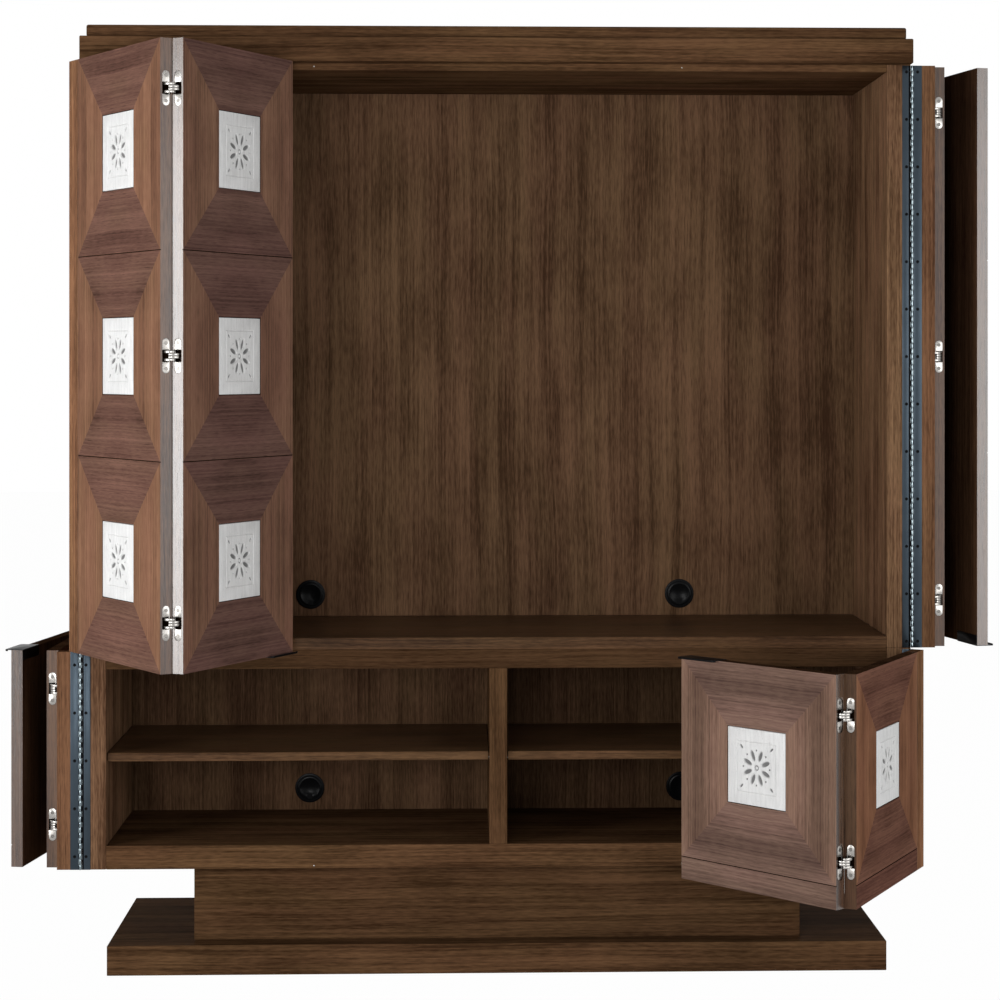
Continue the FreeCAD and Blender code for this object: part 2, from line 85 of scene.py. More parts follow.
# Walnut boards: whether the grain is upright, whose tones, their share, contrast and sheen.
WALNUTS = {
    "Carcass walnut": (False, "carcass", 1.0, PLAIN, MATTE),
    # The sides take the back tones, lifted: painted light on the inner walls.
    "Side walnut": (True, "back", 1.30, PLAIN, MATTE),
    # Pedestal, rail, plinth, divider and lower back are darker copies: painted shade, darker towards the
    # floor.
    "Pedestal walnut": (False, "carcass", 0.78, PLAIN, MATTE),
    "Rail walnut": (False, "carcass", 0.62, PLAIN, MATTE),
    "Plinth walnut": (False, "carcass", 0.92, PLAIN, DULL),
    "Shelf walnut": (False, "carcass", 1.0, PLAIN, SATIN),
    "Deck walnut": (False, "carcass", 0.88, PLAIN, SATIN),
    "Divider walnut": (True, "carcass", 0.80, PLAIN, MATTE),
    "Back walnut": (True, "back", 1.0, FIGURED, MATTE),
    "Lower back walnut": (True, "back", 0.74, FIGURED, MATTE),
    # Painted shade: the leaves' inner faces and ends, darker than the stiles' inner faces.
    "Leaf inner walnut": (True, "door", 0.36, PLAIN, MATTE),
    "Stile inner walnut": (True, "door", 0.76, PLAIN, MATTE),
    "Stile face walnut": (True, "door", 1.30, PLAIN, MATTE),
    "Oiled edge walnut": (True, "door", 0.32, PLAIN, OILED),
    "Waxed edge walnut": (True, "door", 0.50, PLAIN, WAXED),
    "Lacquered edge walnut": (True, "door", 0.40, PLAIN, LACQUERED),
    # Painted shade: near black in hinge pockets, grooves and recesses.
    "Cut walnut": (True, "door", 0.10, PLAIN, MATTE),
}
# Scale of a metal's brushed lines along each axis.
DRAWN, FINE = (700.0, 700.0, 40.0), (300.0, 300.0, 300.0)
# Metals: colour, its share, roughness and brushed lines.
METALS = {
    "Blued steel": ("blued_steel", 1.0, 0.36, DRAWN),
    "Knuckle steel": ("blued_steel", 1.0, 0.30, FINE),
    # A painted highlight on the knuckles' forward faces.
    "Bright steel": ("bright_steel", 1.0, 0.25, FINE),
    "Satin nickel": ("nickel", 1.0, 0.27, FINE),
    "Screw steel": ("nickel", 0.45, 0.35, FINE),
    # Blackened steel is the screws' finish and also paints the shadow beside the carcass knuckles.
    "Blackened steel": ("black", 1.0, 0.42, FINE),
}
# Black finishes: roughness and scale of the tooth.
BLACKS = {"Satin black": (0.34, 900.0), "Black plastic": (0.24, 1400.0)}
WHITE = (1.0, 1.0, 1.0, 1.0)

# Least part of a normal that counts as looking straight along an axis.
FACING = 0.99
# Points closer than this, in metres, are one point.
SAME_PLACE = 1e-6
# Turn that lays a cylinder along Y.
ALONG_Y = (math.pi / 2, 0, 0)


class VeneerSettings(bpy.types.PropertyGroup):
    """Colours and grain of the wood, and leaf tints that paint light, shade and sheen."""

    carcass_light: FloatVectorProperty(
        name="Carcass light", description="Pale grain of the carcass", subtype="COLOR",
        default=(0.135, 0.073, 0.036))
    carcass_dark: FloatVectorProperty(
        name="Carcass dark", description="Dark grain of the carcass", subtype="COLOR",
        default=(0.044, 0.022, 0.0105))
    back_light: FloatVectorProperty(
        name="Back light", description="Pale grain of the back panels", subtype="COLOR",
        default=(0.176, 0.102, 0.058))
    back_dark: FloatVectorProperty(
        name="Back dark", description="Dark grain of the back panels", subtype="COLOR",
        default=(0.056, 0.029, 0.0158))
    door_light: FloatVectorProperty(
        name="Door light", description="Pale grain of the doors", subtype="COLOR",
        default=(0.250, 0.130, 0.070))
    door_dark: FloatVectorProperty(
        name="Door dark", description="Dark grain of the doors", subtype="COLOR",
        default=(0.085, 0.041, 0.023))
    side_tint: FloatVectorProperty(
        name="Side tint", description="Tint of the mitred veneers beside a tile", subtype="COLOR",
        soft_max=2.0, default=(1.16, 1.08, 0.98))
    end_tint: FloatVectorProperty(
        name="End tint", description="Tint of the mitred veneers above and below a tile", subtype="COLOR",
        default=(0.80, 0.76, 0.84))
    # Leaf tints: brighter and darker copies of one veneer, as painted light and shade; their blue lift is a
    # painted sheen.
    left_first_tint: FloatVectorProperty(
        name="Left first tint", description="Tint of a left door's first leaf", subtype="COLOR", soft_max=3.0,
        default=(1.02, 1.14, 1.44))
    left_second_tint: FloatVectorProperty(
        name="Left second tint", description="Tint of a left door's second leaf", subtype="COLOR",
        soft_max=3.0, default=(0.96, 1.10, 1.52))
    right_first_tint: FloatVectorProperty(
        name="Right first tint", description="Tint of a right door's first leaf", subtype="COLOR",
        soft_max=3.0, default=(1.08, 1.09, 1.32))
    right_second_tint: FloatVectorProperty(
        name="Right second tint", description="Tint of a right door's second leaf", subtype="COLOR",
        soft_max=3.0, default=(1.09, 1.37, 1.95))
    left_mitres: FloatVectorProperty(
        name="Left mitres", description="Strength of the mitre tints on a left door's leaves", size=2,
        default=(1.0, 1.0))
    # The 0.40 on a right door's second leaf weakens its mitres as a painted reflection.
    right_mitres: FloatVectorProperty(
        name="Right mitres", description="Strength of the mitre tints on a right door's leaves", size=2,
        default=(1.0, 0.40))


class DoorSettings(bpy.types.PropertyGroup):
    """Sizes of the doors that the frame's axes don't give."""

    thickness: FloatProperty(
        name="Thickness", description="Thickness of stile and leaves", unit="LENGTH", default=0.025)
    stile_start: FloatProperty(
        name="Stile start", description="From the hinge pin to the stile", unit="LENGTH", default=0.0027)
    fold_gap: FloatProperty(
        name="Fold gap", description="Gap between two boards of a closed door", unit="LENGTH", default=0.002)
    fold_edge: FloatProperty(
        name="Fold edge", description="From a lower fold's axis to the edge of each leaf it joins",
        unit="LENGTH", default=0.00002)
    fold_offset: FloatProperty(
        name="Fold offset", description="From a fold's axis to the inner faces it joins", unit="LENGTH",
        default=0.0003)
    edge_round: FloatProperty(
        name="Edge round", description="Radius of a door board's edges", unit="LENGTH", default=0.0002)
    groove_width: FloatProperty(
        name="Groove width", description="Width of the line between panels", unit="LENGTH", default=0.002)
    groove_depth: FloatProperty(
        name="Groove depth", description="Depth of the line between panels", unit="LENGTH", default=0.0015)
    tile_size: FloatProperty(
        name="Tile size", description="Side of an inlaid tile", unit="LENGTH", default=0.158)
    tile_depth: FloatProperty(
        name="Tile depth", description="Thickness of an inlaid tile", unit="LENGTH", default=0.008)
    tile_joint: FloatProperty(
        name="Tile joint", description="Gap round a tile", unit="LENGTH", default=0.0004)
    tile_shadow: FloatProperty(
        name="Tile shadow", description="How far a tile's recess is eased beyond its joint", unit="LENGTH",
        default=0.0008)
    upper_hinges: FloatVectorProperty(
        name="Upper hinges", description="Heights of an upper fold's hinges above its foot", unit="LENGTH",
        default=(0.101, 0.633, 1.166))
    lower_hinges: FloatVectorProperty(
        name="Lower hinges", description="Heights of a lower fold's hinges above its foot", unit="LENGTH",
        size=2, default=(0.093, 0.387))


class HardwareSettings(bpy.types.PropertyGroup):
    """Sizes and colours of hinges, pulls, grommets and studs."""

    blued_steel: FloatVectorProperty(
        name="Blued steel", description="Colour of the piano hinges", subtype="COLOR",
        default=(0.036, 0.047, 0.058))
    # The knuckles' forward faces are painted in this colour as a highlight.
    bright_steel: FloatVectorProperty(
        name="Bright steel", description="Colour of the piano hinges' knuckles", subtype="COLOR",
        default=(0.30, 0.36, 0.38))
    nickel: FloatVectorProperty(
        name="Nickel", description="Colour of the invisible hinges", subtype="COLOR",
        default=(0.35, 0.335, 0.315))
    black: FloatVectorProperty(
        name="Black", description="Colour of pulls and grommets", subtype="COLOR",
        default=(0.005, 0.005, 0.0055))
    stone: FloatVectorProperty(
        name="Stone", description="Colour of the carved tiles", subtype="COLOR", default=(0.775, 0.775, 0.77))
    piano_reach: FloatProperty(
        name="Leaf reach", description="From the pin to the edge of a piano hinge's leaf", unit="LENGTH",
        default=0.0215)
    piano_plate: FloatProperty(
        name="Leaf thickness", description="Thickness of a piano hinge's leaf", unit="LENGTH", default=0.0012)
    # The leaf root is a strip of black steel that paints the shadow beside a carcass leaf's knuckles.
    piano_root: FloatProperty(
        name="Leaf root", description="Width of the dark root beside a carcass leaf's knuckles",
        unit="LENGTH", default=0.0042)
    knuckle_length: FloatProperty(
        name="Knuckle", description="Length of one knuckle", unit="LENGTH", default=0.0118)
    knuckle_radius: FloatProperty(
        name="Knuckle radius", description="Outer radius of the knuckles", unit="LENGTH", default=0.0028)
    screw_pitch: FloatProperty(
        name="Screw pitch", description="Distance between a piano hinge's screws", unit="LENGTH",
        default=0.1032)
    plate_length: FloatProperty(
        name="Plate length", description="Length of an invisible hinge's plate", unit="LENGTH", default=0.070)
    plate_width: FloatProperty(
        name="Plate width", description="Width of an invisible hinge's plate", unit="LENGTH", default=0.016)
    plate_rim: FloatProperty(
        name="Plate rim", description="Width left beside the opening of an invisible hinge's plate",
        unit="LENGTH", default=0.0018)
    plate_depth: FloatProperty(
        name="Plate thickness", description="Thickness of an invisible hinge's plate", unit="LENGTH",
        default=0.0025)
    arm_inner: FloatProperty(
        name="Arm inner radius", description="Inside of an arm's bend", unit="LENGTH", default=0.0135)
    arm_outer: FloatProperty(
        name="Arm outer radius", description="Outside of an arm's bend", unit="LENGTH", default=0.018)
    arm_height: FloatProperty(
        name="Arm height", description="Height of one arm", unit="LENGTH", default=0.0048)
    arm_pitch: FloatProperty(
        name="Arm pitch", description="From one arm to the next", unit="LENGTH", default=0.0053)
    pocket: FloatProperty(
        name="Pocket", description="Half the height of the pocket behind a hinge plate", unit="LENGTH",
        default=0.012)
    arm_tip: FloatProperty(
        name="Arm tip", description="Angle of an arm's free end", subtype="ANGLE",
        default=math.radians(168.5))
    arm_root: FloatProperty(
        name="Arm root", description="Angle of an arm's rooted end", subtype="ANGLE",
        default=math.radians(75))
    pull_length: FloatProperty(
        name="Pull length", description="Length of a tab pull along its leaf", unit="LENGTH", default=0.105)
    pull_plate: FloatProperty(
        name="Pull sheet", description="Thickness of a tab pull's sheet", unit="LENGTH", default=0.0012)
    pull_reach: FloatProperty(
        name="Pull reach", description="How far a tab pull stands out of its leaf", unit="LENGTH",
        default=0.015)
    pull_flange: FloatProperty(
        name="Pull flange", description="Height of a tab pull's flange", unit="LENGTH", default=0.022)
    pull_lip: FloatProperty(
        name="Pull lip", description="Height of a tab pull's turned lip", unit="LENGTH", default=0.0024)
    grommet_spread: FloatProperty(
        name="Grommet spread", description="From the middle to a grommet", unit="LENGTH", default=0.433)
    grommet_rise: FloatProperty(
        name="Grommet rise", description="Height of a grommet above its panel's foot", unit="LENGTH",
        default=0.051)
    grommet_radius: FloatProperty(
        name="Grommet radius", description="Outer radius of a grommet's flange", unit="LENGTH", default=0.034)
    grommet_lip: FloatProperty(
        name="Grommet lip", description="How far a grommet stands proud", unit="LENGTH", default=0.0025)
    stud_spread: FloatProperty(
        name="Stud spread", description="From the middle to a door stud", unit="LENGTH", default=0.398)


class StageSettings(bpy.types.PropertyGroup):
    """Camera and light."""

    camera_place: FloatVectorProperty(
        name="Camera", description="Where the camera stands", subtype="TRANSLATION", unit="LENGTH",
        default=(-0.0794, -5.5605, 1.3117))
    camera_turn: FloatProperty(
        name="Camera turn", description="Turn of the camera to the right", subtype="ANGLE", default=0.030)
    lens: FloatProperty(name="Lens", description="Focal length on a 36 mm sensor", default=88.9)
    shift: FloatVectorProperty(
        name="Shift", description="Shift of the frame across and up", size=2, default=(-0.0357, -0.1357))
    left_power: FloatProperty(
        name="Left softbox", description="Power of the left softbox", unit="POWER", default=124.0)
    right_power: FloatProperty(
        name="Right softbox", description="Power of the right softbox", unit="POWER", default=82.0)
    front_power: FloatProperty(
        name="Front softbox", description="Power of the softbox above the camera", unit="POWER", default=92.0)
    ambient: FloatProperty(name="Ambient", description="Strength of the light from all round", default=0.17)
    floor_white: FloatProperty(
        name="Floor white", description="How far the floor shows as plain white", subtype="FACTOR",
        default=0.985)


GROUPS = {
    "cabinet_veneer": VeneerSettings,
    "cabinet_doors": DoorSettings,
    "cabinet_hardware": HardwareSettings,
    "cabinet_stage": StageSettings,
}


class Graph:
    """A node tree with short ways to add and join nodes."""

    def __init__(self, tree):
        self.tree = tree

    def feed(self, node, inputs):
        """Joins or sets a node's inputs."""
        for key, given in inputs.items():
            if isinstance(given, bpy.types.NodeSocket):
                self.tree.links.new(given, node.inputs[key])
            else:
                node.inputs[key].default_value = given

    def add(self, kind, inputs=None, **settings):
        """A node with its settings, and its inputs joined or set."""
        node = self.tree.nodes.new(kind)
        for key, setting in settings.items():
            setattr(node, key, setting)
        self.feed(node, inputs or {})
        return node

    def math(self, operation, first, second=0.0, third=0.0):
        """One sum."""
        return self.add("ShaderNodeMath", {0: first, 1: second, 2: third}, operation=operation).outputs[0]

    def vector(self, operation, first, second):
        """One sum of vectors or colours."""
        return self.add("ShaderNodeVectorMath", {0: first, 1: second}, operation=operation).outputs[0]

    def scale(self, color, share):
        """A colour made darker or paler."""
        return self.add("ShaderNodeVectorMath", {0: color, "Scale": share}, operation="SCALE").outputs[0]

    def noise(self, vector, scales, detail):
        """Noise drawn out by a different scale along each axis, about a half."""
        inputs = {"Vector": self.vector("MULTIPLY", vector, scales), "Scale": 1.0, "Detail": detail}
        return self.add("ShaderNodeTexNoise", inputs).outputs["Fac"]

    def sway(self, noise, strength, middle):
        """A number that a noise moves up and down about its middle."""
        return self.math("MULTIPLY_ADD", self.math("SUBTRACT", noise, 0.5), strength, middle)

    def ramp(self, number, low, high):
        """A smooth step from 0 at low to 1 at high."""
        return self.add("ShaderNodeMapRange", {"Value": number, "From Min": low, "From Max": high},
                        interpolation_type="SMOOTHSTEP").outputs["Result"]

    def blend(self, factor, first, second):
        """One number into another."""
        return self.add("ShaderNodeMix", {"Factor": factor, "A": first, "B": second}).outputs[0]

    def mix(self, factor, first, second, **settings):
        """One colour into another."""
        return self.add("ShaderNodeMix", {"Factor": factor, "A": first, "B": second}, data_type="RGBA",
                        **settings).outputs[2]

    def split(self, vector):
        """The three numbers of a vector."""
        return self.add("ShaderNodeSeparateXYZ", {0: vector}).outputs

    def gather(self, first, second, third):
        """A vector from three numbers."""
        return self.add("ShaderNodeCombineXYZ", {0: first, 1: second, 2: third}).outputs[0]

    def place(self):
        """A point in its object's own axes."""
        return self.add("ShaderNodeTexCoord").outputs["Object"]

    def mark(self, title, output="Fac"):
        """An attribute of the mesh."""
        return self.add("ShaderNodeAttribute", attribute_name=title).outputs[output]


def new_group(title, inputs, outputs):
    """An empty node group with named sockets, its inner graph and its input sockets."""
    tree = bpy.data.node_groups.new(title, "ShaderNodeTree")
    for direction, sockets in (("INPUT", inputs), ("OUTPUT", outputs)):
        for name, kind in sockets.items():
            tree.interface.new_socket(name, in_out=direction, socket_type=f"NodeSocket{kind}")
    graph = Graph(tree)
    return graph, graph.add("NodeGroupInput").outputs


def shared_group(title, build):
    """A node group, built the first time it is asked for."""
    return bpy.data.node_groups.get(title) or build(title)


def veneer_figure(title):
    """Walnut figure along the vector's first axis: streaks, lines, flecks and pores, in drifting hues."""
    waver, waver_scale = 0.024, (1.6, 3.0, 3.0)
    streak_scale, line_scale, fleck_scale = (0.7, 26.0, 26.0), (2.6, 210.0, 210.0), (42.0, 340.0, 340.0)
    patch_strength, patch_scale = 1.1, (5.0, 11.0, 11.0)
    hue_scale, hue_step = (2.2, 11.0, 11.0), (0.36, 0.64)
    red_cast, gold_cast = (1.02, 0.96, 0.95, 1.0), (0.985, 0.975, 0.92, 1.0)
    pore_scale, pore_step = (24.0, 620.0, 620.0), (0.58, 0.74)
    pore_share, pore_color = 0.42, (0.020, 0.010, 0.006, 1.0)
    line_roughness, pore_roughness, line_height = 0.16, 0.10, 0.5
    graph, given = new_group(
        title, {"Grain": "Vector", "Light": "Color", "Dark": "Color", "Streaks": "Float", "Lines": "Float",
                "Flecks": "Float", "Polish": "Float"},
        {"Color": "Color", "Roughness": "Float", "Height": "Float"})
    grain = given["Grain"]
    drift = graph.sway(graph.noise(grain, waver_scale, 1.0), waver, 0.0)
    bent = graph.vector("ADD", grain, graph.gather(0.0, drift, 0.0))
    lines = graph.noise(bent, line_scale, 3.0)
    pores = graph.ramp(graph.noise(bent, pore_scale, 1.0), *pore_step)
    tone = 0.5
    for noise, strength in (
            (graph.noise(bent, streak_scale, 2.0), given["Streaks"]), (lines, given["Lines"]),
            (graph.noise(grain, fleck_scale, 2.0), given["Flecks"]),
            (graph.noise(grain, patch_scale, 3.0), patch_strength)):
        tone = graph.sway(noise, strength, tone)
    tone = graph.add("ShaderNodeClamp", {"Value": tone}).outputs[0]
    wood = graph.mix(tone, given["Dark"], given["Light"])
    hue = graph.ramp(graph.noise(bent, hue_scale, 2.0), *hue_step)
    wood = graph.mix(1.0, wood, graph.mix(hue, red_cast, gold_cast), blend_type="MULTIPLY")
    pored = graph.mix(graph.math("MULTIPLY", pores, pore_share), wood, pore_color)
    rough = graph.math("MULTIPLY_ADD", pores, pore_roughness, given["Polish"])
    rough = graph.math("MULTIPLY_ADD", lines, line_roughness, rough)
    height = graph.math("SUBTRACT", graph.math("MULTIPLY", lines, line_height), pores)
    graph.add("NodeGroupOutput", {"Color": pored, "Roughness": rough, "Height": height})
    return graph.tree


def mitred_panel(title):
    """Grain of a square panel in four mitred veneers, from a map that is measured from the panel's corner."""
    row_seed, flitch_seed = 1.7, 5.3
    graph, given = new_group(title, {"Map": "Vector", "Panel": "Float", "Flitch": "Float"},
                             {"Grain": "Vector", "Side": "Float"})
    across, up, _ = graph.split(given["Map"])
    row = graph.math("FLOOR", graph.math("DIVIDE", up, given["Panel"]))
    middle = graph.math("MULTIPLY", graph.math("ADD", row, 0.5), given["Panel"])
    rise = graph.math("ABSOLUTE", graph.math("SUBTRACT", up, middle))
    reach = graph.math("ABSOLUTE", graph.math("MULTIPLY_ADD", given["Panel"], -0.5, across))
    in_panel = graph.math("GREATER_THAN", up, 0.0)
    side = graph.math("MULTIPLY", graph.math("GREATER_THAN", reach, rise), in_panel)
    away = graph.blend(in_panel, up, graph.math("MAXIMUM", reach, rise))
    along = graph.blend(in_panel, across, graph.math("MINIMUM", reach, rise))
    seed = graph.math("MULTIPLY_ADD", row, row_seed, graph.math("MULTIPLY", given["Flitch"], flitch_seed))
    grain = graph.gather(graph.math("ADD", along, seed), away, seed)
    graph.add("NodeGroupOutput", {"Grain": grain, "Side": side})
    return graph.tree


def new_material(title):
    """An empty material: its graph and its principled shader."""
    material = bpy.data.materials.new(title)
    material.use_nodes = True
    graph = Graph(material.node_tree)
    return material, graph, material.node_tree.nodes["Principled BSDF"]


def join_bump(graph, shader, height, distance):
    """Relief of a surface's own texture."""
    bump = graph.add("ShaderNodeBump", {"Height": height, "Strength": 0.5, "Distance": distance})
    graph.feed(shader, {"Normal": bump.outputs[0]})


def veneer(graph, shader, grain, colors, contrast, sheen, tint=None):
    """Joins the walnut figure to a shader, with its contrast, sheen and a tint, which on the doors holds
    painted light, shade and sheen.
    """
    coat_roughness, relief = 0.2, 0.0002
    streaks, lines, flecks = contrast
    specular, coat, polish = sheen
    light, dark = ((*color, 1.0) for color in colors)
    figure = graph.add("ShaderNodeGroup", {
        "Grain": grain, "Light": light, "Dark": dark, "Streaks": streaks, "Lines": lines, "Flecks": flecks,
        "Polish": polish}, node_tree=shared_group("Veneer figure", veneer_figure)).outputs
    color = graph.vector("MULTIPLY", figure["Color"], tint) if tint else figure["Color"]
    graph.feed(shader, {
        "Base Color": color, "Roughness": figure["Roughness"], "Specular IOR Level": specular,
        "Coat Weight": coat, "Coat Roughness": coat_roughness})
    join_bump(graph, shader, figure["Height"], relief)


def board_veneer(title, upright, colors, contrast, sheen):
    """Walnut on a board, its grain upright, or along the board and round its ends."""
    material, graph, shader = new_material(title)
    across, deep, up = graph.split(graph.place())
    if upright:
        grain = graph.gather(up, across, deep)
    else:
        end_facing = 0.8
        normal = graph.split(graph.add("ShaderNodeNewGeometry").outputs["Normal"])
        on_end = graph.math("GREATER_THAN", graph.math("ABSOLUTE", normal[0]), end_facing)
        grain = graph.gather(graph.blend(on_end, across, deep), up, graph.blend(on_end, deep, across))
    veneer(graph, shader, grain, colors, contrast, sheen)
    return material


def door_face_veneer(title, wood, panel):
    """Mitred walnut on the show face of a leaf, its ends darker than its sides, in the leaf's tint of painted
    light, shade and sheen.
    """
    material, graph, shader = new_material(title)
    placed = graph.add("ShaderNodeUVMap", uv_map=GRAIN_MAP).outputs[0]
    mitre = graph.add("ShaderNodeGroup", {"Map": placed, "Panel": panel, "Flitch": graph.mark(FLITCH)},
                      node_tree=shared_group("Mitred panel", mitred_panel)).outputs
    laid = graph.mix(mitre["Side"], (*wood.end_tint, 1.0), (*wood.side_tint, 1.0))
    # A lowered mitre strength stands in for a reflection that washes the mitres out: painted sheen.
    laid = graph.mix(graph.mark(MITRE), WHITE, laid)
    tint = graph.vector("MULTIPLY", laid, graph.mark(TINT_AND_LIGHT, "Color"))
    veneer(graph, shader, mitre["Grain"], (wood.door_light, wood.door_dark), MITRED, MATTE, tint)
    return material


def metal(title, color, roughness, brushed):
    """Bare or plated metal with fine wear."""
    wear_scale, wear, line_roughness, relief = (22.0, 22.0, 14.0), 0.5, 0.22, 0.00005
    material, graph, shader = new_material(title)
    place = graph.place()
    lines = graph.noise(place, brushed, 3.0)
    tone = graph.sway(graph.noise(place, wear_scale, 3.0), wear, 1.0)
    graph.feed(shader, {
        "Base Color": graph.scale(color, tone), "Roughness": graph.sway(lines, line_roughness, roughness),
        "Metallic": 1.0})
    join_bump(graph, shader, lines, relief)
    return material


def black_finish(title, color, roughness, grit):
    """Black paint or moulded plastic with a fine tooth."""
    tooth_tone, tooth_roughness, specular, relief = 0.8, 0.2, 0.06, 0.00008
    material, graph, shader = new_material(title)
    tooth = graph.noise(graph.place(), (grit, grit, grit), 2.0)
    graph.feed(shader, {
        "Base Color": graph.scale(color, graph.sway(tooth, tooth_tone, 1.0)),
        "Roughness": graph.sway(tooth, tooth_roughness, roughness), "Specular IOR Level": specular})
    join_bump(graph, shader, tooth, relief)
    return material


def carved_stone(title, color):
    """Honed white stone, faintly streaked and pitted, darker in the depth of its carving: partly patina,
    partly painted shade.
    """
    streak_scale, streak_tone, base_tone = (190.0, 190.0, 26.0), 0.34, 0.96
    cloud_scale, cloud_tone, cloud_roughness = (30.0, 30.0, 30.0), 0.14, 0.2
    pit_scale, pit_step, pit_tone = (520.0, 520.0, 260.0), (0.62, 0.74), -0.20
    carving_step, carving_patina_and_shade = (0.2, 0.8), -0.78
    roughness, specular, relief = 0.56, 0.25, 0.0004
    material, graph, shader = new_material(title)
    place = graph.place()
    streaks = graph.noise(place, streak_scale, 3.0)
    clouds = graph.noise(place, cloud_scale, 3.0)
    pits = graph.ramp(graph.noise(place, pit_scale, 2.0), *pit_step)
    tone = graph.sway(clouds, cloud_tone, graph.sway(streaks, streak_tone, base_tone))
    tone = graph.math("MULTIPLY_ADD", pits, pit_tone, tone)
    # Depth darkens the stone: partly patina in the hollows, partly painted shade.
    carved = graph.ramp(graph.mark(CARVING), *carving_step)
    tone = graph.math("MULTIPLY", tone, graph.math("MULTIPLY_ADD", carved, carving_patina_and_shade, 1.0))
    graph.feed(shader, {
        "Base Color": graph.scale(color, tone), "Roughness": graph.sway(clouds, cloud_roughness, roughness),
        "Specular IOR Level": specular})
    join_bump(graph, shader, graph.math("MULTIPLY_ADD", pits, -1.0, streaks), relief)
    return material


def finish(title, context):
    """One of the cabinet's materials, made the first time it is asked for."""
    made = bpy.data.materials.get(title)
    if made:
        return made
    wood, metals = context.scene.cabinet_veneer, context.scene.cabinet_hardware
    if title in WALNUTS:
        upright, tones, share, contrast, sheen = WALNUTS[title]
        colors = [[share * part for part in getattr(wood, f"{tones}_{end}")] for end in ("light", "dark")]
        return board_veneer(title, upright, colors, contrast, sheen)
    if title in METALS:
        color, share, roughness, brushed = METALS[title]
        return metal(title, [share * part for part in getattr(metals, color)], roughness, brushed)
    if title in BLACKS:
        return black_finish(title, metals.black, *BLACKS[title])
    if title == "Carved stone":
        return carved_stone(title, metals.stone)
    if title == "Door panel walnut":
        return door_face_veneer(title, wood, doors(context)[0].panel)
    raise RuntimeError(f"there is no finish called {title}")


def deselect():
    """Object mode with nothing selected."""
    if bpy.context.mode != "OBJECT":
        bpy.ops.object.mode_set(mode="OBJECT")
    bpy.ops.object.select_all(action="DESELECT")


def choose(*objects):
    """Selects these objects, the last one active."""
    deselect()
    for chosen in objects:
        chosen.select_set(True)
    bpy.context.view_layer.objects.active = objects[-1]


def settle(name):
    """Names the newest object and puts its place into its mesh."""
    made = bpy.context.object
    made.name = name
    bpy.ops.object.transform_apply(location=True, rotation=True, scale=True)
    return made


def add_block(name, low, high):
    """A cube stretched between two corners."""
    deselect()
    low, high = Vector(low), Vector(high)
    bpy.ops.mesh.primitive_cube_add(size=1, location=(low + high) / 2)
    bpy.context.object.scale = high - low
    return settle(name)


def add_round(name, radius, depth, place, turn=(0.0, 0.0, 0.0), sides=32):
    """A cylinder about its middle, along Z before its turn."""
    deselect()
    bpy.ops.mesh.primitive_cylinder_add(vertices=sides, radius=radius, depth=depth, location=place,
                                        rotation=turn)
    return settle(name)


def finish_with(piece, kind, **settings):
    """Adds a modifier and applies it."""
    choose(piece)
    modifier = piece.modifiers.new(kind.title(), kind)
    for key, setting in settings.items():
        setattr(modifier, key, setting)
    bpy.ops.object.modifier_apply(modifier=modifier.name)


def ease(piece, radius, segments=2):
    """Rounds every sharp edge."""
    sharp = math.radians(35)
    finish_with(piece, "BEVEL", width=radius, segments=segments, limit_method="ANGLE", angle_limit=sharp)


def stack(piece, count, pitch):
    """Repeats a piece upwards."""
    finish_with(piece, "ARRAY", count=count, use_relative_offset=False, use_constant_offset=True,
                constant_offset_displace=(0, 0, pitch))


def combine(piece, tools, operation):
    """Cuts tools out of a piece, or melts them into it, and removes them."""
    for tool in tools:
        finish_with(piece, "BOOLEAN", operation=operation, solver="EXACT", object=tool)
        bpy.data.meshes.remove(tool.data)


def join(pieces, name):
    """Several meshes as one object."""
    choose(*pieces)
    bpy.ops.object.join()
    joined = bpy.context.object
    joined.name = name
    return joined


def copy_of(piece, place):
    """A copy with a mesh of its own, moved to a place or by a matrix."""
    twin = piece.copy()
    twin.data = piece.data.copy()
    bpy.context.scene.collection.objects.link(twin)
    return stand(twin, place if isinstance(place, Matrix) else Matrix.Translation(place))


def stand(piece, place):
    """Moves a piece by a matrix, and puts that into its mesh."""
    piece.matrix_world = place
    choose(piece)
    bpy.ops.object.transform_apply(location=True, rotation=True, scale=True)
    return piece


def start_edit(piece, kind):
    """Edit mode with nothing selected, to select faces, edges or points."""
    choose(piece)
    bpy.ops.object.mode_set(mode="EDIT")
    bpy.ops.mesh.select_mode(type=kind)
    bpy.ops.mesh.select_all(action="DESELECT")
    return bmesh.from_edit_mesh(piece.data)


def leave_edit():
    """Back to object mode."""
    bpy.ops.object.mode_set(mode="OBJECT")


def edit_faces(piece, test):
    """Edit mode with the faces selected that pass a test."""
    mesh = start_edit(piece, "FACE")
    chosen = [face for face in mesh.faces if test(face)]
    if not chosen:
        raise RuntimeError(f"{piece.name} has no such face")
    for face in chosen:
        face.select_set(True)
    bmesh.update_edit_mesh(piece.data)


def edit_points(piece, test):
    """Edit mode with the points selected that pass a test."""
    mesh = start_edit(piece, "VERT")
    for point in mesh.verts:
        point.select_set(test(point.co))
    mesh.select_flush_mode()
    bmesh.update_edit_mesh(piece.data)


def inset(*steps):
    """Insets the selected faces step by step, each by a thickness and a depth, and leaves edit mode."""
    for thickness, depth in steps:
        bpy.ops.mesh.inset(thickness=thickness, depth=depth)
    leave_edit()


def recalculate(piece):
    """Merges doubles and turns all faces outwards."""
    choose(piece)
    bpy.ops.object.mode_set(mode="EDIT")
    bpy.ops.mesh.select_all(action="SELECT")
    bpy.ops.mesh.remove_doubles(threshold=SAME_PLACE)
    bpy.ops.mesh.normals_make_consistent(inside=False)
    leave_edit()


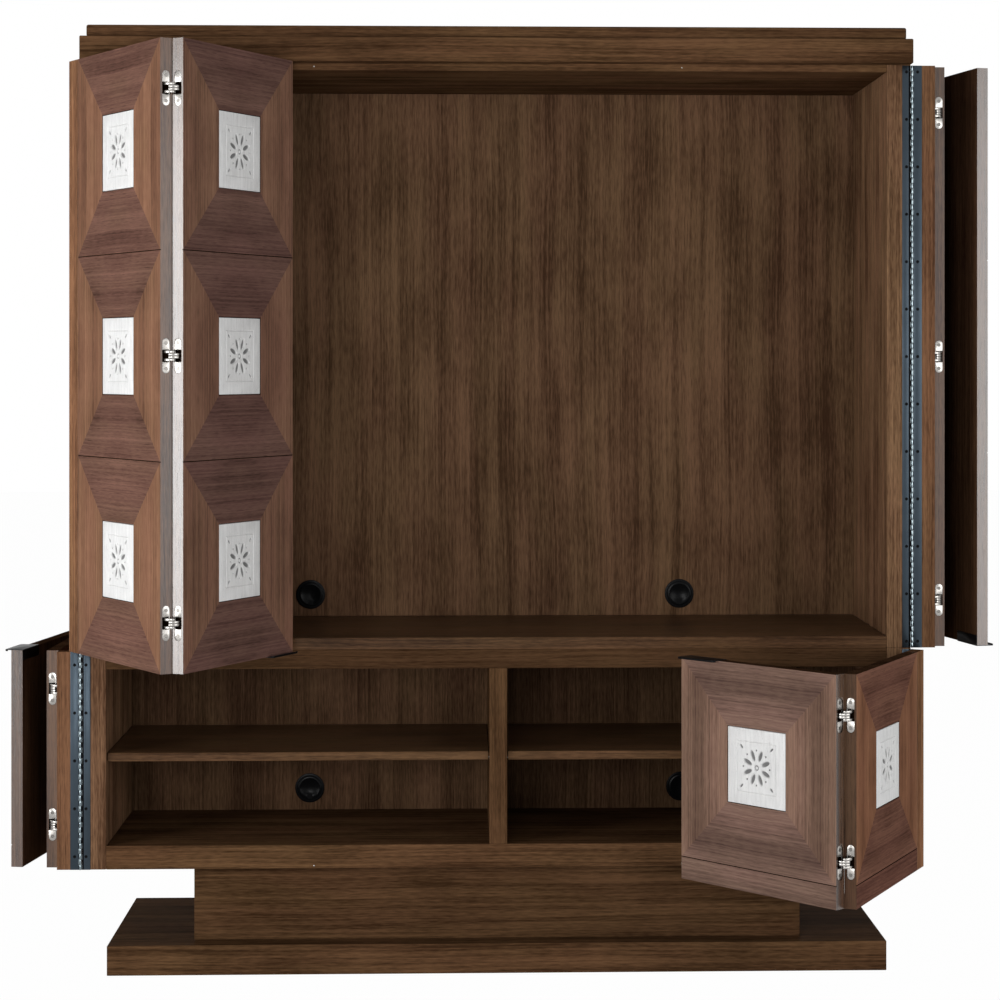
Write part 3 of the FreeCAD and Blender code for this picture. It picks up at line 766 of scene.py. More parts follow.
def smooth(piece, degrees=32):
    """Smooth shading, except across sharp edges."""
    choose(piece)
    bpy.ops.object.shade_smooth_by_angle(angle=math.radians(degrees))


def paint(piece, *materials):
    """Gives a piece its materials, the first on every face."""
    piece.data.materials.clear()
    for material in materials:
        piece.data.materials.append(material)
    for polygon in piece.data.polygons:
        polygon.material_index = 0


def hand_over(piece, body, slot, *replaced):
    """Rides a finished piece on its body in place of CAD nodes."""
    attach(piece, body)
    if replaced:
        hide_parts(*replaced)


def dress(node, material):
    """Gives a CAD node its finish."""
    solid = frame["nodes"][node]
    solid.data.materials.clear()
    solid.data.materials.append(material)


def opening_turn(joint, axis_point):
    """The turn from a joint's closed end to rest, about its axis when closed."""
    turn = Matrix.Rotation(math.radians(-joint["range_deg"][0]), 4, Vector(joint["axis"]))
    return Matrix.Translation(axis_point) @ turn @ Matrix.Translation(-axis_point)


class Door:
    """A tri-fold door: its closed layout, measured from the hinge pin, and where its boards stand at rest."""

    def __init__(self, name, sizes):
        swing, back, fold = (JOINTS[f"{name}_{turn}"] for turn in ("swing", "back_fold", "fold"))
        self.name = name
        self.sizes = sizes
        self.upper = name.startswith("upper")
        self.side = swing["axis"][2]
        self.pin = Vector(swing["pos_m"])
        stile = opening_turn(swing, self.pin)
        self.back_axis = stile.inverted() @ Vector(back["pos_m"])
        first = stile @ opening_turn(back, self.back_axis)
        self.fold_axis = first.inverted() @ Vector(fold["pos_m"])
        second = first @ opening_turn(fold, self.fold_axis)
        self.rest = {"carcass": Matrix(), "stile": stile, "first_leaf": first, "second_leaf": second}
        self.show = self.pin.y - self.back_axis.y
        self.inner = self.show - sizes.thickness
        leaf_inner = self.inner if self.upper else self.inner - sizes.fold_offset
        self.inners = {"stile": self.inner, "first_leaf": leaf_inner, "second_leaf": leaf_inner}
        low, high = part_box(f"{name}_stile")
        self.foot, self.head = low.z, high.z
        half_gap = sizes.fold_gap / 2
        back_reach, fold_reach = (self.side * (self.pin.x - axis.x)
                                  for axis in (self.back_axis, self.fold_axis))
        self.panel = fold_reach - back_reach - sizes.fold_gap
        fold_edge = half_gap if self.upper else sizes.fold_edge
        self.spans = {
            "stile": (sizes.stile_start, back_reach - half_gap),
            "first_leaf": (back_reach + half_gap, fold_reach - fold_edge),
            "second_leaf": (fold_reach + fold_edge, fold_reach + half_gap + self.panel),
        }
        self.panel_starts = {"first_leaf": back_reach + half_gap, "second_leaf": fold_reach + half_gap}
        self.panel_foot = self.foot if self.upper else self.head - self.panel
        self.panels = round((self.head - self.panel_foot) / self.panel)
        self.hinge_heights = tuple(sizes.upper_hinges if self.upper else sizes.lower_hinges)

    def corners(self, along, out, height):
        """Corners of a block: along the door from the pin, outwards from the pin, and in height."""
        xs = sorted(self.pin.x - self.side * reach for reach in along)
        ys = sorted(self.pin.y - reach for reach in out)
        return (xs[0], ys[0], height[0]), (xs[1], ys[1], height[1])

    def tile_middles(self, leaf):
        """Middles of a leaf's tiles, on its show face."""
        x = self.pin.x - self.side * (self.panel_starts[leaf] + self.panel / 2)
        y = self.pin.y - self.show
        return [Vector((x, y, self.panel_foot + (row + 0.5) * self.panel)) for row in range(self.panels)]

    def hinge_seats(self, board):
        """A board's invisible hinges: fold, carrier or carried, and the matrix from a hinge's own axes."""
        seats = []
        folds = (("back", self.back_axis, -1, "stile", "first_leaf"),
                 ("fold", self.fold_axis, 1, "first_leaf", "second_leaf"))
        for fold, axis, deep, carrier, carried in folds:
            for owner, into in ((carrier, -1), (carried, 1)):
                if owner != board:
                    continue
                for height in self.hinge_heights:
                    middle = Matrix.Translation((axis.x, axis.y, self.foot + height))
                    seats.append((fold, owner == carrier,
                                  middle @ Matrix.Diagonal((-self.side * into, -deep, 1, 1))))
        return seats


def doors(context):
    """All four doors."""
    return [Door(name, context.scene.cabinet_doors) for name in DOORS]


def add_capsule(name, length, width, depth, place):
    """A round-ended slab, long in Z and thin in X, from its middle."""
    sides = 32
    deselect()
    bpy.ops.mesh.primitive_cylinder_add(vertices=sides, radius=width / 2, depth=depth,
                                        rotation=(0, 0, math.pi / sides))
    capsule = settle(name)
    stretch = (length - width) / 2
    for sign in (-1, 1):
        edit_points(capsule, lambda point: point.y * sign > 0)
        bpy.ops.transform.translate(value=(0, sign * stretch, 0))
        leave_edit()
    upright = Matrix(((0, 0, 1, 0), (1, 0, 0, 0), (0, 1, 0, 0), (0, 0, 0, 1)))
    return stand(capsule, Matrix.Translation(place) @ upright)


class HingeLayout:
    """Places in an invisible hinge: X into its leaf from the fold's axis, Y into the leaf's thickness."""

    SLACK, OVER, POCKET_END = 0.0004, 0.001, 0.0195
    PLATE_EASE, ARM_EASE, ARM_STEPS = 0.0004, 0.0006, 10
    SCREW_RISE, SCREW_RADIUS, SCREW_DEPTH, SCREW_SIDES = 0.0255, 0.0038, 0.0008, 20
    SCREW_RIM, SCREW_DISH = 0.0006, 0.0003
    # Half the width and length of a screw's cross, and the rise of its floor.
    CROSS, CROSS_FLOOR = (0.0004, 0.0021), 0.0001

    def __init__(self, fold, sizes, metals):
        self.metals = metals
        self.edge = sizes.fold_gap / 2
        face = 0.0 if fold == "back" else sizes.fold_offset
        self.middle = face + sizes.thickness / 2
        self.back = self.edge + metals.plate_depth
        self.far = self.middle + metals.plate_width / 2
        self.rim = self.middle - metals.plate_width / 2 + metals.plate_rim

    def seat_cutters(self):
        """The plate's seat and the pocket for the arms."""
        metals = self.metals
        front = self.edge - self.OVER
        depth = metals.plate_depth + self.OVER
        plate = add_capsule("seat", metals.plate_length + self.SLACK, metals.plate_width + self.SLACK, depth,
                            (front + depth / 2, self.middle, 0))
        low = metals.arm_inner * math.sin(metals.arm_tip) - self.SLACK
        pocket = add_block("pocket", (front, low, -metals.pocket), (self.POCKET_END, self.far, metals.pocket))
        return [plate, pocket]

    def plate(self):
        """The plate, open to its far side where the arms pass."""
        metals = self.metals
        plate = add_capsule("plate", metals.plate_length, metals.plate_width, metals.plate_depth,
                            (self.edge + metals.plate_depth / 2, self.middle, 0))
        opening = add_block("opening", (self.edge - self.SLACK, self.rim, -metals.pocket),
                            (self.back + self.SLACK, self.far + self.SLACK, metals.pocket))
        combine(plate, [opening], "DIFFERENCE")
        ease(plate, self.PLATE_EASE)
        return plate

    def arms(self, carrier):
        """The bent arms that reach into the other leaf, spun about the fold's axis."""
        metals = self.metals
        gap = (metals.arm_pitch - metals.arm_height) / 2
        start = metals.arm_pitch + gap if carrier else gap
        middle = (metals.arm_inner + metals.arm_outer) / 2
        section_size = (metals.arm_outer - metals.arm_inner, metals.arm_height, 1, 1)
        arms = []
        for foot in (start, -start - metals.arm_height):
            deselect()
            bpy.ops.mesh.primitive_plane_add(size=1)
            section = bpy.context.object
            section.matrix_world = (Matrix.Rotation(metals.arm_root, 4, "Z")
                                    @ Matrix.Translation((middle, 0, foot + metals.arm_height / 2))
                                    @ Matrix.Rotation(math.pi / 2, 4, "X")
                                    @ Matrix.Diagonal(section_size))
            arm = settle("arm")
            edit_faces(arm, lambda face: True)
            bpy.ops.mesh.spin(steps=self.ARM_STEPS, angle=metals.arm_tip - metals.arm_root,
                              center=(0, 0, 0), axis=(0, 0, -1))
            leave_edit()
            recalculate(arm)
            ease(arm, self.ARM_EASE)
            arms.append(arm)
        return arms

    def screws(self):
        """Two screw heads with cross recesses."""
        heads = []
        for rise in (-self.SCREW_RISE, self.SCREW_RISE):
            head = add_round("screw", self.SCREW_RADIUS, self.SCREW_DEPTH, (self.edge, self.middle, rise),
                             (0, math.pi / 2, 0), self.SCREW_SIDES)
            edit_faces(head, lambda face: face.normal.x < -FACING)
            inset((self.SCREW_RIM, 0), (self.SCREW_DISH, -self.SCREW_DISH))
            bars = [add_block("bar", (self.edge - self.OVER, self.middle - wide, rise - tall),
                              (self.edge - self.CROSS_FLOOR, self.middle + wide, rise + tall))
                    for wide, tall in (self.CROSS, self.CROSS[::-1])]
            combine(head, bars, "DIFFERENCE")
            heads.append(head)
        return heads


class CabinetOperator(bpy.types.Operator):
    """A step in making the cabinet's looks."""

    bl_options = {"REGISTER", "UNDO"}


class CABINET_OT_carcass(CabinetOperator):
    """Veneer on the base, boxes, shelves and backs, and metal on the shelf pins"""

    bl_idname = "cabinet.carcass"
    bl_label = "Carcass"

    def execute(self, context):
        boards = {
            "Carcass walnut": ("lower_bottom", "upper_top"),
            # The shaded titles are darker copies of their walnut, painted shade.
            "Rail walnut": ("lower_top",),
            "Plinth walnut": ("plinth",),
            "Pedestal walnut": ("pedestal_boards",),
            "Shelf walnut": ("shelves",),
            "Deck walnut": ("upper_deck",),
            "Divider walnut": ("lower_divider",),
            # The sides are painted paler, as light on the inner walls.
            "Side walnut": ("lower_left_side", "lower_right_side", "upper_left_side", "upper_right_side"),
            "Back walnut": ("upper_back",),
            "Lower back walnut": ("lower_back",),
            "Satin nickel": ("shelf_pins",),
            "Blued steel": ("hinge_pins",),
        }
        for title, nodes in boards.items():
            for node in nodes:
                dress(node, finish(title, context))
        return {"FINISHED"}


class CABINET_OT_crown(CabinetOperator):
    """Crown frame and cap with rounded edges"""

    bl_idname = "cabinet.crown"
    bl_label = "Crown"

    OVER = 0.01

    rail: FloatProperty(
        name="Rail", description="Width of the frame's rails", unit="LENGTH", default=0.040)
    frame_round: FloatProperty(
        name="Frame round", description="Radius of the frame's edges", unit="LENGTH", default=0.0025)
    cap_round: FloatProperty(
        name="Cap round", description="Radius of the cap's edges", unit="LENGTH", default=0.0045)

    def execute(self, context):
        low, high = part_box("crown_moulding")
        ring = add_block("crown_frame", low, high)
        ease(ring, self.frame_round, 3)
        inner = Vector((self.rail, self.rail, -self.OVER))
        combine(ring, [add_block("inside", low + inner, high - inner)], "DIFFERENCE")
        cap = add_block("crown_board", *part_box("crown_cap"))
        ease(cap, self.cap_round, 4)
        for piece, node in ((ring, "crown_moulding"), (cap, "crown_cap")):
            paint(piece, finish("Carcass walnut", context))
            smooth(piece)
            hand_over(piece, "carcass", "case_veneer_across", node)
        return {"FINISHED"}


class CABINET_OT_door_boards(CabinetOperator):
    """Stiles and leaves with eased edges, grooves, tile recesses and hinge seats"""

    bl_idname = "cabinet.door_boards"
    bl_label = "Door boards"

    def execute(self, context):
        for number, door in enumerate(doors(context)):
            for place, board in enumerate(BOARDS):
                self.make_board(context, door, board, number * len(BOARDS) + place)
        return {"FINISHED"}

    def make_board(self, context, door, board, flitch):
        """One board of a door."""
        sizes, wood = door.sizes, context.scene.cabinet_veneer
        span = door.spans[board]
        piece = add_block(f"{door.name}_{board}_board",
                          *door.corners(span, (door.inners[board], door.show), (door.foot, door.head)))
        ease(piece, sizes.edge_round, 3)
        cutters = []
        for fold, _, seat in door.hinge_seats(board):
            layout = HingeLayout(fold, sizes, context.scene.cabinet_hardware)
            for cutter in layout.seat_cutters():
                recalculate(stand(cutter, seat))
                cutters.append(cutter)
        if board in LEAVES:
            cutters += self.face_cutters(door, board)
        combine(piece, cutters, "DIFFERENCE")
        if board in LEAVES:
            edge = EDGES[door.name][LEAVES.index(board)]
            # The leaves' inner faces and ends are painted dark, as shade.
            titles = ("Cut walnut", f"{edge} edge walnut", "Leaf inner walnut", "Door panel walnut")
            self.lay_veneer(door, piece, board, flitch, wood)
        else:
            # Faces in cuts are painted near black, as shade.
            titles = ("Cut walnut", "Waxed edge walnut", "Stile inner walnut", "Stile face walnut")
        paint(piece, *(finish(title, context) for title in titles))
        for polygon in piece.data.polygons:
            polygon.material_index = self.find_surface(door, board, polygon)
        piece.data.transform(door.rest[board])
        hand_over(piece, f"{door.name}_{board}", "door_veneer", f"{door.name}_{board}")

    def find_surface(self, door, board, polygon):
        """Where a closed board's face lies: 0 in a cut, 1 narrow edge, 2 inside or end, 3 show face."""
        flush, sideways = 0.0002, 0.2
        near = door.sizes.edge_round + 1e-5
        middle, normal = polygon.center, polygon.normal
        reach, out = door.side * (door.pin.x - middle.x), door.pin.y - middle.y
        start, end = door.spans[board]
        if normal.y < -FACING and abs(out - door.show) < flush:
            return 3
        if normal.y > FACING and abs(out - door.inners[board]) < flush:
            return 2
        if abs(normal.x) > sideways and min(reach - start, end - reach) < near:
            return 1
        return 2 if min(middle.z - door.foot, door.head - middle.z) < near else 0

    def face_cutters(self, door, leaf):
        """Grooves between panels and recesses for tiles."""
        sizes = door.sizes
        over = 0.001
        span = (door.spans[leaf][0] - over, door.spans[leaf][1] + over)
        lines = range(1, door.panels) if door.upper else (0,)
        cutters = []
        for line in lines:
            level = door.panel_foot + line * door.panel
            cutters.append(add_block("groove", *door.corners(
                span, (door.show - sizes.groove_depth, door.show + over),
                (level - sizes.groove_width / 2, level + sizes.groove_width / 2))))
        half = sizes.tile_size / 2 + sizes.tile_shadow
        for middle in door.tile_middles(leaf):
            cutters.append(add_block("recess", middle + Vector((-half, -over, -half)),
                                     middle + Vector((half, sizes.tile_depth, half))))
        return cutters

    def lay_veneer(self, door, piece, leaf, flitch, wood):
        """Maps a leaf in metres from its first panel's corner, and marks its flitch, its mitre strength and
        its tint of painted light, shade and sheen.
        """
        mesh = piece.data
        start = door.panel_starts[leaf]
        grain = mesh.uv_layers.new(name=GRAIN_MAP).data
        for corner in mesh.loops:
            point = mesh.vertices[corner.vertex_index].co
            grain[corner.index].uv = (door.side * (door.pin.x - point.x) - start, point.z - door.panel_foot)
        hand = door.name.split("_")[1]
        # Each leaf's tint paints its light, shade and sheen.
        tint = (*getattr(wood, f"{hand}_{leaf.split('_')[0]}_tint"), 1.0)
        strength = getattr(wood, f"{hand}_mitres")[LEAVES.index(leaf)]
        for title, number in ((FLITCH, flitch), (MITRE, strength)):
            for mark in mesh.attributes.new(title, "FLOAT", "POINT").data:
                mark.value = number
        for mark in mesh.attributes.new(TINT_AND_LIGHT, "FLOAT_COLOR", "POINT").data:
            mark.color = tint


class CABINET_OT_tiles(CabinetOperator):
    """Inlaid tiles with a ruled border, a rosette of incised petals and dots round a bead, and corner scoops
    """

    bl_idname = "cabinet.tiles"
    bl_label = "Tiles"

    EASE, LINE = 0.0012, 0.0014
    # Carving, in shares of the field: reach from the middle, half width and half length.
    HUB, PETAL, DOT, CORNER = (0, 0.13, 0.13), (0.48, 0.105, 0.27), (0.66, 0.045, 0.045), (1.06, 0.05, 0.12)
    BEAD = 0.075
    CORNERS = 4
    # In depths of the carving: half the thickness of a scoop's lens, and how deep still counts as carved.
    LENS, CARVED = 1.4, 1.2

    petals: IntProperty(name="Petals", description="Petals of a rosette", default=8)
    border: FloatProperty(
        name="Border", description="From a tile's edge to its ruled line", unit="LENGTH", default=0.024)
    carve: FloatProperty(name="Carve", description="Depth of the carving", unit="LENGTH", default=0.0036)

    def execute(self, context):
        sizes = context.scene.cabinet_doors
        pattern = self.make_tile(sizes)
        paint(pattern, finish("Carved stone", context))
        smooth(pattern, 30)
        for door in doors(context):
            for leaf in LEAVES:
                tiles = [copy_of(pattern, middle) for middle in door.tile_middles(leaf)]
                piece = join(tiles, f"{door.name}_{leaf}_carved_tiles")
                piece.data.transform(door.rest[leaf])
                hand_over(piece, f"{door.name}_{leaf}", "carved_tile", f"{door.name}_{leaf}_tiles")
        bpy.data.meshes.remove(pattern.data)
        return {"FINISHED"}

    def make_tile(self, sizes):
        """One tile about the middle of its face, which looks along -Y."""
        half = sizes.tile_size / 2 - sizes.tile_joint
        tile = add_block("tile", (-half, 0, -half), (half, sizes.tile_depth, half))
        ease(tile, self.EASE)
        edit_faces(tile, lambda face: face.normal.y < -FACING)
        inset((self.border, 0), (self.LINE, -self.LINE), (self.LINE, self.LINE))
        field = half - self.border
        petal_turn, corner_turn = 2 * math.pi / self.petals, 2 * math.pi / self.CORNERS
        cutters = [self.make_scoop(field, 0, self.HUB)]
        for number in range(self.petals):
            turn = (number + 0.5) * petal_turn
            cutters.append(self.make_scoop(field, turn, self.PETAL))
            cutters.append(self.make_scoop(field, turn + petal_turn / 2, self.DOT))
        for number in range(self.CORNERS):
            cutters.append(self.make_scoop(field, (number + 0.5) * corner_turn, self.CORNER))
        combine(tile, cutters, "DIFFERENCE")
        bead = self.make_bead((0, self.carve, 0), (field * self.BEAD, self.carve, field * self.BEAD))
        combine(tile, [bead], "UNION")
        for mark, point in zip(tile.data.attributes.new(CARVING, "FLOAT", "POINT").data, tile.data.vertices):
            mark.value = point.co.y / self.carve if point.co.y < self.carve * self.CARVED else 0.0
        return tile

    def make_bead(self, place, radii):
        """A flattened bead."""
        deselect()
        bpy.ops.mesh.primitive_uv_sphere_add(segments=20, ring_count=12, radius=1, location=place)
        bpy.context.object.scale = radii
        return settle("bead")

    def make_scoop(self, field, turn, shares):
        """A lens to cut out of the face, turned about the face's middle."""
        reach, wide, long = (field * share for share in shares)
        deep = self.carve * self.LENS
        scoop = self.make_bead((0, 0, 0), (wide, deep, long))
        return stand(scoop, Matrix.Rotation(turn, 4, "Y") @ Matrix.Translation((0, self.carve - deep, reach)))


class CABINET_OT_piano_hinges(CabinetOperator):
    """Continuous hinges: strips, knuckles with a painted highlight, countersunk screws and a painted shadow
    strip on the carcass leaves
    """

    bl_idname = "cabinet.piano_hinges"
    bl_label = "Piano hinges"

    GAP, STRIP_EASE = 0.0004, 0.0003
    KNUCKLE_EASE, KNUCKLE_SIDES = 0.0002, 20
    # Where a tab starts inside its knuckle, as a share of the knuckle's radius.
    TAB_START = 0.4
    SCREW_MARGIN, SCREW_RADIUS, SCREW_DEPTH, SCREW_SIDES = 0.02, 0.0034, 0.0004, 16
    SCREW_RIM, SCREW_SLOPE, SCREW_SINK = 0.0016, 0.0003, 0.00015

    # Knuckle faces that look forward at rest get a painted highlight.
    highlight_facing: FloatProperty(
        name="Crest", description="How far forward a knuckle's worn part looks", default=0.93)

    def execute(self, context):
        metals = context.scene.cabinet_hardware
        fixed = []
        for door in doors(context):
            fixed.append(self.make_leaf(context, door, metals, True))
            swung = self.make_leaf(context, door, metals, False)
            swung.name = f"{door.name}_stile_piano_leaf"
            swung.data.transform(door.rest["stile"])
            self.paint_knuckle_highlight(context, swung)
            hand_over(swung, f"{door.name}_stile", "piano_hinge_steel", f"{door.name}_stile_hinge_leaf")
        leaves = join(fixed, "carcass_piano_leaves")
        self.paint_knuckle_highlight(context, leaves)
        hand_over(leaves, "carcass", "piano_hinge_steel", "carcass_hinge_leaves")
        return {"FINISHED"}

    def make_leaf(self, context, door, metals, fixed):
        """One leaf of a closed hinge, on the carcass or on the stile."""
        low, high = door.foot, door.head
        stand_off, plate, radius = door.inner, metals.piano_plate, metals.knuckle_radius
        out = (-stand_off, -stand_off + plate) if fixed else (stand_off - plate, stand_off)
        start = radius + self.GAP
        middle = start + metals.piano_root if fixed else start
        strip = add_block("strip", *door.corners((middle, metals.piano_reach), out, (low, high)))
        ease(strip, self.STRIP_EASE)
        count = 2 * round((high - low) / metals.knuckle_length / 2) + 1
        pitch = (high - low) / count
        foot = low if fixed else low + pitch
        knuckle = add_round("knuckle", radius, pitch - self.GAP,
                            (door.pin.x, door.pin.y, foot + pitch / 2), sides=self.KNUCKLE_SIDES)
        ease(knuckle, self.KNUCKLE_EASE)
        tab = add_block("tab", *door.corners((radius * self.TAB_START, radius + 2 * self.GAP), out,
                                             (foot + self.GAP / 2, foot + pitch - self.GAP / 2)))
        rolled = join([tab, knuckle], "rolled")
        stack(rolled, count // 2 + (1 if fixed else 0), 2 * pitch)
        paint(rolled, finish("Knuckle steel", context))
        paint(strip, finish("Blued steel", context))
        screws = self.make_screws(door, metals, out[1] if fixed else out[0], low, high)
        paint(screws, finish("Blackened steel", context))
        parts = [screws, rolled, strip]
        if fixed:
            # The carcass leaf's dark root is a painted shadow beside its knuckles.
            root = add_block("root", *door.corners((start, middle), out, (low, high)))
            ease(root, self.STRIP_EASE)
            paint(root, finish("Blackened steel", context))
            parts.insert(0, root)
        leaf = join(parts, "leaf")
        smooth(leaf)
        return leaf

    def paint_knuckle_highlight(self, context, leaf):
        """Painted highlight: bright metal on the part of each knuckle that looks forward at rest."""
        titles = [material.name for material in leaf.data.materials]
        rolled = titles.index("Knuckle steel")
        leaf.data.materials.append(finish("Bright steel", context))
        for polygon in leaf.data.polygons:
            if polygon.material_index == rolled and polygon.normal.y < -self.highlight_facing:
                polygon.material_index = len(titles)

    def make_screws(self, door, metals, face, low, high):
        """A row of screws in one leaf, each sunk to the plate's face."""
        count = int((high - low - self.SCREW_MARGIN) / metals.screw_pitch) + 1
        foot = (low + high - (count - 1) * metals.screw_pitch) / 2
        across = (metals.knuckle_radius + metals.piano_reach) / 2
        place = (door.pin.x - door.side * across, door.pin.y - face, foot)
        head = add_round("screw", self.SCREW_RADIUS, self.SCREW_DEPTH, place, ALONG_Y, self.SCREW_SIDES)
        edit_faces(head, lambda item: abs(item.normal.y) > FACING)
        inset((self.SCREW_RIM, 0), (self.SCREW_SLOPE, -self.SCREW_SINK))
        stack(head, count, metals.screw_pitch)
        return head


class CABINET_OT_fold_hinges(CabinetOperator):
    """Invisible hinges of the folds: slotted plates, arms and screws"""

    bl_idname = "cabinet.fold_hinges"
    bl_label = "Fold hinges"

    def execute(self, context):
        sizes, metals = context.scene.cabinet_doors, context.scene.cabinet_hardware
        patterns = {}
        for fold in ("back", "fold"):
            for carrier in (True, False):
                layout = HingeLayout(fold, sizes, metals)
                screws = join(layout.screws(), "screws")
                paint(screws, finish("Screw steel", context))
                half = join([*layout.arms(carrier), layout.plate()], "half")
                paint(half, finish("Satin nickel", context))
                patterns[fold, carrier] = join([screws, half], f"{fold}_half")
        for door in doors(context):
            for board in BOARDS:
                halves = []
                for fold, carrier, seat in door.hinge_seats(board):
                    half = copy_of(patterns[fold, carrier], seat)
                    recalculate(half)
                    halves.append(half)
                piece = join(halves, f"{door.name}_{board}_fold_hinges")
                smooth(piece)
                piece.data.transform(door.rest[board])
                hand_over(piece, f"{door.name}_{board}", "hinge_nickel", f"{door.name}_{board}_hinge_plates")
        for half in patterns.values():
            bpy.data.meshes.remove(half.data)
        return {"FINISHED"}


class CABINET_OT_pulls(CabinetOperator):
    """Tab pulls bent from sheet, with a turned lip and rounded corners"""

    bl_idname = "cabinet.pulls"
    bl_label = "Pulls"

    OVER = 0.001
    # Radius of the sheet's eased edges, as a share of its thickness.
    EASE = 0.3

    corner: FloatProperty(
        name="Corner", description="Radius of a tab's front corners", unit="LENGTH", default=0.007)

    def execute(self, context):
        for door in doors(context):
            piece = self.make_pull(door, context.scene.cabinet_hardware)
            paint(piece, finish("Satin black", context))
            smooth(piece)
            piece.data.transform(door.rest["second_leaf"])
            hand_over(piece, f"{door.name}_second_leaf", "pull_black", f"{door.name}_pull")
        return {"FINISHED"}

    def make_pull(self, door, metals):
        """One pull on a closed door: sheet across the leaf's end, flange inside it and lip in front."""
        sheet, over = metals.pull_plate, self.OVER
        free = door.spans["second_leaf"][1]
        along = (free - metals.pull_length, free)
        back, front = door.inner - sheet, door.show + metals.pull_reach
        end, inward = (door.foot, 1) if door.upper else (door.head, -1)

        def layer(start, stop):
            """Heights from just outside the leaf's end, inwards."""
            return sorted(end + inward * (distance - sheet) for distance in (start, stop))

        tab = add_block("tab", *door.corners(along, (back, front), layer(0, sheet + metals.pull_lip)))
        self.round_corners(tab, self.corner)
        hollow = add_block("hollow", *door.corners((along[0] + sheet, along[1] - sheet),
                                                   (back - over, front - sheet),
                                                   layer(sheet, sheet + metals.pull_lip + over)))
        self.round_corners(hollow, self.corner - sheet)
        behind = add_block("behind", *door.corners((along[0] - over, along[1] + over),
                                                   (back - over, front - self.corner),
                                                   layer(sheet, sheet + metals.pull_lip + over)))
        combine(tab, [hollow, behind], "DIFFERENCE")
        flange = add_block("flange", *door.corners(along, (back, door.inner),
                                                   layer(0, sheet + metals.pull_flange)))
        combine(tab, [flange], "UNION")
        ease(tab, sheet * self.EASE)
        return tab

    def round_corners(self, piece, radius):
        """Rounds the two upright edges at the front of a block."""
        mesh = start_edit(piece, "EDGE")
        front = min(point.co.y for point in mesh.verts)
        for edge in mesh.edges:
            first, second = (point.co for point in edge.verts)
            upright = abs(first.z - second.z) > max(abs(first.x - second.x), abs(first.y - second.y))
            edge.select_set(upright and first.y < front + SAME_PLACE)
        bmesh.update_edit_mesh(piece.data)
        bpy.ops.mesh.bevel(offset=radius, segments=6, affect="EDGES")
        leave_edit()


class CABINET_OT_grommets(CabinetOperator):
    """Cable grommets with a rounded flange and a notched cap"""

    bl_idname = "cabinet.grommets"
    bl_label = "Grommets"

    SIDES, SLEEVE = 64, 0.012
    # Shares of the lip: its rounding and the height of the notch's floor.
    ROUND, NOTCH_FLOOR = 0.45, 0.3
    # Shares of the radius: the flange's and the cap's bands, the step behind, and the notch's two ends.
    BAND, BACK_STEP, NOTCH_ENDS = 0.12, 0.14, (0.72, 0.42)
    NOTCH_HALF, OVER = 0.006, 0.01

    def execute(self, context):
        metals = context.scene.cabinet_hardware
        pattern = self.make_grommet(metals)
        rings = []
        for panel in ("lower_back", "upper_back"):
            low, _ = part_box(panel)
            for side in (-1, 1):
                rings.append(copy_of(pattern, Vector((side * metals.grommet_spread, low.y,
                                                      low.z + metals.grommet_rise))))
        bpy.data.meshes.remove(pattern.data)
        piece = join(rings, "grommet_rings_and_caps")
        paint(piece, finish("Black plastic", context))
        smooth(piece, 40)
        hand_over(piece, "carcass", "grommet_plastic", "cable_grommets")
        return {"FINISHED"}

    def make_grommet(self, metals):
        """One grommet about the middle of its seat, looking along -Y."""
        radius, lip = metals.grommet_radius, metals.grommet_lip
        ring = add_round("grommet", radius, lip, (0, -lip / 2, 0), ALONG_Y, self.SIDES)
        ease(ring, lip * self.ROUND, 3)
        band = radius * self.BAND
        edit_faces(ring, lambda face: face.normal.y < -FACING)
        inset((band, 0), (0.0008, -0.0012), (0.0006, 0.0004), (band, 0.0002), (0.0012, -0.0010))
        edit_faces(ring, lambda face: face.normal.y > FACING)
        bpy.ops.mesh.inset(thickness=radius * self.BACK_STEP)
        bpy.ops.mesh.extrude_region_move(TRANSFORM_OT_translate={"value": (0, self.SLEEVE, 0)})
        leave_edit()
        foot, head = (-radius * share for share in self.NOTCH_ENDS)
        notch = add_block("notch", (-self.NOTCH_HALF, -self.OVER, foot),
                          (self.NOTCH_HALF, -lip * self.NOTCH_FLOOR, head))
        combine(ring, [notch], "DIFFERENCE")
        return ring


class CABINET_OT_studs(CabinetOperator):
    """Small bright studs that the closed doors meet"""

    bl_idname = "cabinet.studs"
    bl_label = "Door studs"

    RADIUS, LENGTH, SIDES, EASE = 0.0016, 0.0014, 16, 0.0004
    # How far a stud's middle stands out, and a low stud's rise above its board's underside.
    PROUD, LOW_RISE = 0.0004, 0.006

    def execute(self, context):
        spread = context.scene.cabinet_hardware.stud_spread
        studs = []
        for rail in ("lower_bottom", "upper_top"):
            low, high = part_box(rail)
            level = low.z + self.LOW_RISE if rail == "lower_bottom" else (low.z + high.z) / 2
            for side in (-1, 1):
                place = (side * spread, low.y - self.PROUD, level)
                stud = add_round("stud", self.RADIUS, self.LENGTH, place, ALONG_Y, self.SIDES)
                ease(stud, self.EASE)
                studs.append(stud)
        piece = join(studs, "door_studs")
        paint(piece, finish("Satin nickel", context))
        smooth(piece)
        hand_over(piece, "carcass", "hinge_nickel")
        return {"FINISHED"}


